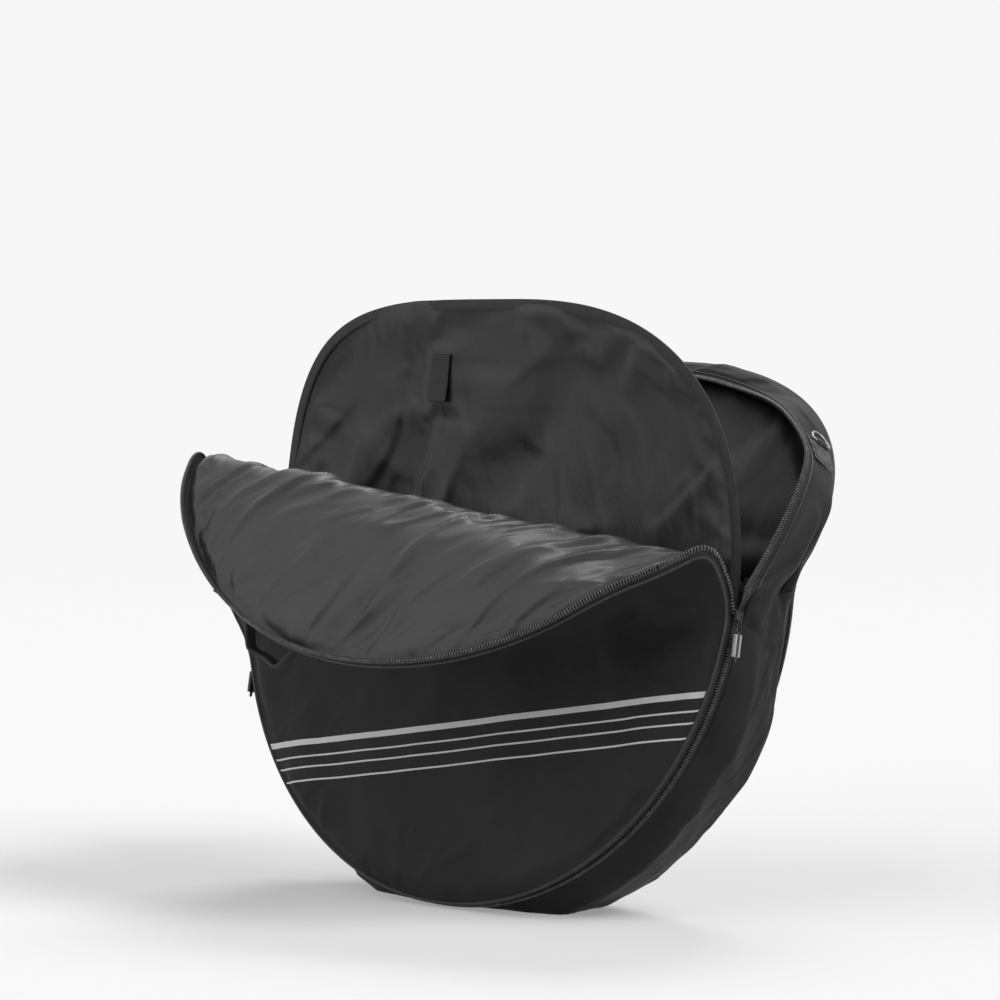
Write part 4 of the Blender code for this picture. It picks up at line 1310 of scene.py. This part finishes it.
def hood_gusset():
    def shape(u, v):
        flat = np.column_stack((u * math.pi * (HOOD_H + HOOD_W) / 2, v * BAND_SIDE_W))
        lift = smooth(np.minimum(v, 1 - v) / HOOD_FREE) * waves(flat, *HOOD_WAVES)
        up_hood = np.maximum(np.minimum(u, 1 - u) - TUCK_SHARE, 0)
        groove = np.exp(-(((v - GROOVE_AT - GROOVE_SLANT * up_hood) / GROOVE_WIDE) ** 2))
        lift -= GROOVE_DEEP * groove * (1 - smooth(up_hood / GROOVE_REACH))
        return flat, hood_surface(u, v * BAND_ZIP_SHARE, lift)

    bm = patterned_grid(HOOD_COLUMNS, HOOD_ROWS, shape)
    face_away(bm, (0, CREASE_Y, SIDE_TOP))
    piece = wall(new_piece("hood_side_cloth", bm, NYLON), GUSSET_T, 1.0)
    carried(piece, "nylon", HOOD_BEND, "hood_gusset")


def hood_edge_at(u, across, out):
    inner = hood_share(u)
    width = band_width(2 * np.minimum(inner, 1 - inner))
    return hood_surface(u, BAND_ZIP_SHARE + across / width, 0 * u + out)


def hood_zip():
    """The open zip half along the hood's edge, down to the sliders."""
    first = TUCK_SHARE * (1 - ZIP_PAST)
    seam = seam_on(hood_edge_at, np.linspace(first, 1 - first, ZIP_EDGE_SAMPLES))
    band = sweep("hood_zip_band", seam, flat_section(*ZIP_EDGE_TAPE), CORD_STEP, TAPE)
    carried(band, "zip_tape", HOOD_BEND, "hood_zip_tape")
    block = bead(COIL_SIZE, COIL_EASE)
    offset = (ZIP_REACH - COIL_SIZE[1] / 2, ZIP_EDGE_COIL_OUT)
    row = repeated("hood_zip_coil", seam, block, COIL_PITCH, COIL, offset)
    carried(row, "zip_coil", HOOD_BEND, "hood_zip_teeth")
    line = sweep("hood_edge_piping", seam, round_section(*ZIP_EDGE_CORD), CORD_STEP, PIPING)
    carried(line, "piping", HOOD_BEND)


# ---- Divider between the wheels, and its tab

DIVIDER_H = 0.3235
DIVIDER_LEFT = (0.335, 0.52)
DIVIDER_RIGHT = (0.318, 0.74)
DIVIDER_ASIDE = 0.020
DIVIDER_CELLS = 84
DIVIDER_T = 0.0008
DIVIDER_SAG, DIVIDER_SAG_SHARE = 0.006, 0.25
DIVIDER_SEWN = 0.955
DIVIDER_FREE = 0.05
DIVIDER_BUCKLE = (0.016, 0.0055, 0.007)  # growth, the most it moves, and the most back
FOLD_EDGE = (0.012, 0.03)
BINDING_SECTION = (
    (-0.0125, 0.0009), (-0.001, 0.0014), (0, 0.0007), (0, -0.0007), (-0.001, -0.0014),
    (-0.0125, -0.0009),
)
BINDING_SAMPLES = 1000
BINDING_OUT = 0.0014
BINDING_SEAM = -0.0105
TAB_AT = (-0.1080, 0.5558)
TAB_SIZE = (0.026, 0.052, 0.0024)
TAB_Z = 0.0023
TAB_CURL = 0.0040
TAB_CLEAR = 0.020
TAB_BOX, BOX_REACH = (0.003, 0.014), 0.0100


def divider_outline(turn):
    """The cloth's edge: round below, broad and square to the left above."""
    across, up = np.cos(turn), np.sin(turn)
    left = across < 0
    half = np.where(left, DIVIDER_LEFT[0], DIVIDER_RIGHT[0])
    square = np.where(left, DIVIDER_LEFT[1], DIVIDER_RIGHT[1])
    x = half * squarer(across, square) - DIVIDER_ASIDE * up**2
    y = DIVIDER_H * np.maximum(up, 0) ** square
    lower = np.column_stack((np.where(left, half, DIVIDER_R) * across, DIVIDER_R * up))
    return np.where((up >= 0)[:, None], np.column_stack((x, y)), lower)


def clear_of_tab(flat):
    """Fades to 0 where the tab is sewn on, for a pattern from the divider's foot."""
    aside = np.abs(flat[:, 0] - TAB_AT[0]) - TAB_SIZE[0] / 2
    high = np.abs(flat[:, 1] - TAB_AT[1]) - TAB_SIZE[1] / 2
    return smooth(np.maximum(aside, high) / TAB_CLEAR)


def divider():
    """Thin cloth between the wheels, with its bound edge and its tab."""
    held = []

    def shape(u, v):
        disc = round_pattern(u, v)
        share = lengths(disc)
        turn = np.arctan2(disc[:, 1], disc[:, 0])
        flat = divider_outline(turn) * share[:, None] + (0, DIVIDER_R)
        clear = clear_of_tab(flat)
        held.extend((share > DIVIDER_SEWN) | (clear < DIVIDER_FREE))
        swell = smooth((1 - share) / DIVIDER_FREE) * waves(flat - (0, DIVIDER_R), DIVIDER_SWELL)
        sag = DIVIDER_SAG * smooth((1 - share) / DIVIDER_SAG_SHARE)
        return flat, laid(DIVIDER, np.column_stack((flat, clear * (swell - sag))))

    def creases(flat):
        middle = flat - (0, DIVIDER_R)
        edge = lengths(divider_outline(np.arctan2(middle[:, 1], middle[:, 0])))
        free = smooth((edge - lengths(middle) - FOLD_EDGE[0]) / FOLD_EDGE[1])
        return free * clear_of_tab(flat) * waves(flat, *DIVIDER_FOLDS)

    bm = patterned_grid(DIVIDER_CELLS, DIVIDER_CELLS, shape)
    piece = new_piece("divider_cloth", bm, DIVIDER_SATIN)
    buckled(piece, np.array(held), *DIVIDER_BUCKLE)
    refined(piece)
    pressed(piece, creases)
    wall(piece, DIVIDER_T, 0)
    carried(piece, "lining", "divider", "divider_sheet")

    def edge_at(turn, across, out):
        outline = divider_outline(turn)
        flat = outline + unit(outline) * across[:, None] + (0, DIVIDER_R)
        return laid(DIVIDER, np.column_stack((flat, out)))

    seam = seam_on(edge_at, np.linspace(0, 2 * math.pi, BINDING_SAMPLES))
    name = "divider_edge_binding"
    tape = sweep(name, seam, BINDING_SECTION, TAPE_STEP, BINDING, closed=True)
    carried(tape, "piping", "divider", "divider_binding")
    for out, name in ((BINDING_OUT, "front"), (-BINDING_OUT, "back")):
        row = stitch_row(f"divider_stitches_{name}", seam, BINDING_SEAM, out)
        carried(row, "piping", "divider")


def divider_tab():
    x, y = TAB_AT
    high = np.linspace(0, TAB_SIZE[1], PATH_SAMPLES)
    curl = TAB_CURL * (high / TAB_SIZE[1]) ** 2
    path = np.column_stack((0 * high + x, y + TAB_SIZE[1] / 2 - high, TAB_Z + curl))
    seam = framed_seam(DIVIDER, path, (-1, 0, 0))
    section = oval(TAB_SIZE[0], TAB_SIZE[2], sides=18, power=0.3)
    tab = sweep("divider_tab_webbing", seam, section, WEB_STEP, WEBBING)
    carried(tab, "webbing", "divider", "divider_tab")
    box = box_stitches("divider_tab_stitches", seam, TAB_BOX, BOX_REACH, TAB_SIZE[2] / 2)
    carried(box, "webbing", "divider")


# ---- Handle on the flap

HANDLE_SAMPLES = 161
HANDLE_FLAT = 1 / 32  # share of the loop that lies on each foot
HANDLE_WAVE = 0.0016
HANDLE_WAVES = 5
HANDLE_SEAM = 0.0046
HANDLE_SEAM_END = 0.010
FOOT_ROUND = 0.0005
FOOT_BOX = (0.002, 0.0145)
FOOT_EDGE = (0.38, 0.12)
FOOT_CELLS = (32, 16)


def turn_over(right, left, angle, _):
    """The rigid turn of what lies above a crease."""
    middle, along, _ = crease_line(right, left)
    middle = Vector((*middle, 0))
    turn = Matrix.Rotation(angle, 4, Vector((*along, 0)))
    return Matrix.Translation(middle) @ turn @ Matrix.Translation(-middle)


def handle_seats():
    """Where the feet are sewn, and the frame that the loop hangs in."""
    flap = Matrix(FRONT.tolist()) @ turn_over(*YOKE) @ turn_over(*SHOULDER) @ turn_over(*FLAP)
    radial = Matrix.Rotation(HANDLE_ANGLE - math.pi / 2, 4, "Z")
    seat = flap @ radial @ Matrix.Translation((0, HANDLE_R, 0))
    down = seat.to_3x3().inverted() @ Vector((0, 0, -1))
    swing = Matrix.Rotation(math.atan2(down.z, down.y), 4, "X")
    return np.array(seat), np.array(seat @ Matrix.Translation((0, 0, HANDLE_LIFT)) @ swing)


def handle():
    seat, hang = handle_seats()
    shares = np.linspace(0, 1, HANDLE_SAMPLES)
    rise = np.minimum(shares, 1 - shares) - HANDLE_FLAT
    path = np.column_stack((
        (shares - 0.5) * HANDLE_SPAN,
        HANDLE_H * smooth(rise * HANDLE_STEEP),
        HANDLE_WAVE * np.sin(shares * math.pi * HANDLE_WAVES),
    ))
    seam = framed_seam(hang, path, (0, 0, 1))
    loop = sweep("handle_webbing", seam, oval(HANDLE_W, HANDLE_T), WEB_STEP, WEBBING)
    carried(loop, "webbing", "handle", "handle_loop")
    span = (HANDLE_SEAM_END, seam.at[-1] - HANDLE_SEAM_END)
    rows = [
        stitch_row(f"row_{side}", seam, side * HANDLE_SEAM, -HANDLE_T / 2, span)
        for side in (-1, 1)
    ]
    carried(joined("handle_stitches", rows), "webbing", "handle")
    for side, name in ((1, "right"), (-1, "left")):
        ends = np.linspace(0, 1, PATH_SAMPLES)
        x = side * (HANDLE_SPAN / 2 + HANDLE_GAP + FOOT_L * (1 - ends))
        z = CLEAR + FOOT_T / 2 + (HANDLE_LIFT - FOOT_T) * smooth((ends - 0.5) / 0.5)
        seam = framed_seam(seat, np.column_stack((x, 0 * x, z)), (0, side, 0))

        def shape(u, v):
            along = u * seam.at[-1]
            across = (v - 0.5) * (FOOT_W + (HANDLE_W - FOOT_W) * smooth((u - 0.5) / 0.5))
            rounded = FOOT_ROUND * smooth((np.abs(v - 0.5) - FOOT_EDGE[0]) / FOOT_EDGE[1])
            return np.column_stack((along, across)), seam.place(along, across, -rounded)

        grid = patterned_grid(*FOOT_CELLS, shape)
        foot = new_piece(f"handle_patch_{name}", grid, WEBBING)
        wall(foot, FOOT_T, 0)
        carried(foot, "webbing", "flap", f"handle_foot_{name}")
        out = -FOOT_T / 2 - STITCH_LIFT
        box = box_stitches(f"handle_patch_stitches_{name}", seam, FOOT_BOX, BOX_REACH, out)
        carried(box, "webbing", "flap")


# ---- Corner webbing, its loop and its ring

CORNER_U = (6 / 48, 8 / 48)
CORNER_V = (0.1, 0.7)
CORNER_SIZE = (0.045, 0.036)
CORNER_T = 0.0016
CORNER_LIFT = 0.0015
CORNER_ROUND = 0.0010
CORNER_SEAM = 0.08
CORNER_STEP = 1 / 48
CORNER_EDGE, CORNER_LONG = 0.14, 1.3
CORNER_CELLS = (36, 30)
CORNER_SAMPLES = 241
LOOP_T = 0.0011
LOOP_STEP, LOOP_SAMPLES = 0.0006, 49
RING_STEP, RING_ROUNDS = 0.001, 3
RING_BAR_SAMPLES = 22


def corner_seat():
    """The frame on the band where the ring's bar lies."""
    u = np.array([CORNER_U[1]])
    v = np.array([sum(CORNER_V) / 2])
    along = unit(hood_band(u + CORNER_STEP, v) - hood_band(u - CORNER_STEP, v))[0]
    across = (hood_band(u, v + CORNER_STEP) - hood_band(u, v - CORNER_STEP))[0]
    out = np.cross(along, across)
    out /= np.linalg.norm(out)
    seat = np.identity(4)
    seat[:3] = np.column_stack((along, np.cross(out, along), out, hood_band(u, v)[0]))
    height = CORNER_LIFT + CORNER_T + CLEAR + RING_TUBE
    return HOOD @ seat @ np.array(Matrix.Translation((-RING_TUBE, 0, height)))


def on_patch(u, v, lift):
    """A place on the corner's patch, by shares of its sides."""
    (left, right), (low, high) = CORNER_U, CORNER_V
    return band_place(left + (right - left) * u, low + (high - low) * v, CORNER_LIFT + lift)


def corner():
    def shape(u, v):
        flat = np.column_stack((u, v)) * CORNER_SIZE
        edge = np.minimum(np.minimum(u, 1 - u) * CORNER_LONG, np.minimum(v, 1 - v))
        lift = CORNER_ROUND * smooth(edge / CORNER_EDGE) + waves(flat, PATCH_SWELL)
        return flat, on_patch(u, v, lift)

    bm = patterned_grid(*CORNER_CELLS, shape)
    face_away(bm, (0, CREASE_Y, SIDE_TOP))
    patch = wall(new_piece("corner_patch", bm, WORN), CORNER_T, 1.0)
    carried(patch, "webbing", "hood", "corner_webbing")

    lap = np.linspace(0, 4, CORNER_SAMPLES)
    low, high = CORNER_SEAM, 1 - CORNER_SEAM
    u = np.interp(lap, range(5), (low, high, high, low, low))
    v = np.interp(lap, range(5), (low, low, high, high, low))
    points = on_patch(u, v, CORNER_T + CORNER_ROUND + 0 * lap)
    out = (on_patch(u, v, CORNER_T + CORNER_ROUND + PROBE + 0 * lap) - points) / PROBE
    carried(stitch_row("corner_stitches", seam_with(points, out)), "webbing", "hood")

    seat = corner_seat()
    middle = (RING_WIRE + 2 * CLEAR + RING_TUBE) / 2
    x, z = polar(np.linspace(0, 2 * math.pi, LOOP_SAMPLES), middle).T
    seam = framed_seam(seat, np.column_stack((x, 0 * x, z)), (0, 1, 0))
    section = oval(LOOP_L, LOOP_T, sides=12)
    loop = sweep("ring_keeper", seam, section, LOOP_STEP, WORN, closed=True)
    carried(loop, "webbing", "hood", "ring_loop")

    bow = polar(np.linspace(-math.pi / 2, math.pi / 2, PATH_SAMPLES)) * (RING_H, RING_W / 2)
    bar = np.linspace(RING_W / 2, -RING_W / 2, RING_BAR_SAMPLES)[1:-1]
    outline = np.vstack((bow, np.column_stack((0 * bar, bar))))
    for _ in range(RING_ROUNDS):
        outline = (np.roll(outline, 1, 0) + outline * 2 + np.roll(outline, -1, 0)) / 4
    outline = np.vstack((outline, outline[:1]))
    seam = framed_seam(seat, np.column_stack((outline, 0 * outline[:, 0])), (0, 0, 1))
    section = round_section(RING_WIRE, 0, 0, sides=12)
    ring = sweep("corner_ring", seam, section, RING_STEP, RING_STEEL, closed=True)
    carried(ring, "dark_steel", "ring", "d_ring")


# ---- Rigid pieces that keep their solids

RIGID_FINISHES = {"slider": (STEEL, 0.0005), "puller": (STEEL, 0.0003), "grip": (GRIP, 0.0006)}
SOFTENED_ANGLE = math.radians(40)


def dressed_nodes():
    """Better finishes and eased edges on the sliders and pullers."""
    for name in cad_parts:
        kind = name.split("_")[0]
        if kind not in RIGID_FINISHES:
            continue
        mat, ease = RIGID_FINISHES[kind]
        node = bpy.data.objects[name]
        node.material_slots[0].material = DARK_GRIP if name.startswith("grip_left") else mat
        node.modifiers.new("Weld", "WELD").merge_threshold = WELD
        edges = node.modifiers.new("Edges", "BEVEL")
        edges.width = ease
        edges.segments = 2
        edges.limit_method = "ANGLE"
        edges.angle_limit = SOFTENED_ANGLE


# ---- Camera, lamps and floor

CAMERA_AT = (2.785, -3.1195, 0.610)
CAMERA_BACK = (0.662, -0.748, 0.0436)
CAMERA_LENS = 142
CAMERA_SENSOR = 36
CAMERA_FAR = 60
LAMPS = (
    ("Sheen", (-0.30, 0.55, 0.90), 1.00, math.radians(26)),
    ("Side", (0.80, 0.15, 0.85), 1.65, math.radians(30)),
    ("Fill", (-0.30, -0.90, 0.75), 1.05, math.radians(70)),
)
AMBIENT = 0.15
BACKDROP = 0.93
FLOOR_R = 7.0
FLOOR_FADE = 2.2
FLOOR_CLEAR = 0.30  # lets the backdrop through, so that the shadow stays faint
FLOOR_LEVELS = (0.95, 0.9595)
FLOOR_ROUGH = 0.9
FLOOR_SIDES = 96


def linked(name, data):
    made = bpy.data.objects.new(name, data)
    bpy.context.scene.collection.objects.link(made)
    return made


def studio():
    scene = bpy.context.scene
    lens = bpy.data.cameras.new("Camera")
    lens.lens = CAMERA_LENS
    lens.sensor_width = CAMERA_SENSOR
    lens.clip_end = CAMERA_FAR
    scene.camera = linked("Camera", lens)
    back = Vector(CAMERA_BACK).normalized()
    right = Vector((0, 0, 1)).cross(back).normalized()
    turn = Matrix((right, back.cross(right), back)).transposed().to_4x4()
    scene.camera.matrix_world = Matrix.Translation(CAMERA_AT) @ turn
    scene.view_settings.view_transform = "Standard"

    for name, direction, energy, spread in LAMPS:
        sun = bpy.data.lights.new(name, "SUN")
        sun.energy = energy
        sun.angle = spread
        linked(name, sun).rotation_euler = Vector(direction).to_track_quat("Z", "Y").to_euler()

    world = bpy.data.worlds.new("Studio")
    world.use_nodes = True
    scene.world = world
    made = Nodes(world.node_tree)
    camera, through, glossy = (
        made.node("LightPath", output=f"Is {kind} Ray")
        for kind in ("Camera", "Transmission", "Glossy")
    )
    seen = (camera + through).math("MAXIMUM", glossy)
    colour = made.mixed(seen, grey(AMBIENT), grey(BACKDROP))
    made.feed(made.tree.nodes["Background"].inputs["Color"], colour)


def floor():
    bm = bmesh.new()
    bmesh.ops.create_circle(bm, cap_ends=True, radius=FLOOR_R, segments=FLOOR_SIDES)
    made = Finish("pale_floor", specular=0.0)
    place = made.place()
    speckle = made.noise(place, scale=3.0, detail=2.0, rough=0.5)
    made.done(made.mixed(speckle, *map(grey, FLOOR_LEVELS)), FLOOR_ROUGH)
    distance = made.node("VectorMath", {"operation": "LENGTH"}, {0: place}, output="Value")
    fade = FLOOR_CLEAR + made.ramp(distance, FLOOR_FADE, FLOOR_R) * (1 - FLOOR_CLEAR)
    solid, clear = Value(made, made.shader.outputs[0]), made.node("BsdfTransparent")
    surface = made.tree.nodes["Material Output"].inputs["Surface"]
    made.feed(surface, made.node("MixShader", {}, {0: fade, 1: solid, 2: clear}))
    new_piece("floor", bm, made.material)


studio()
floor()
front_sheets()
front_trims()
closed_zip()
back_piping()
lower_gusset()
back_sheets()
hood_gusset()
hood_zip()
divider()
divider_tab()
handle()
corner()
dressed_nodes()
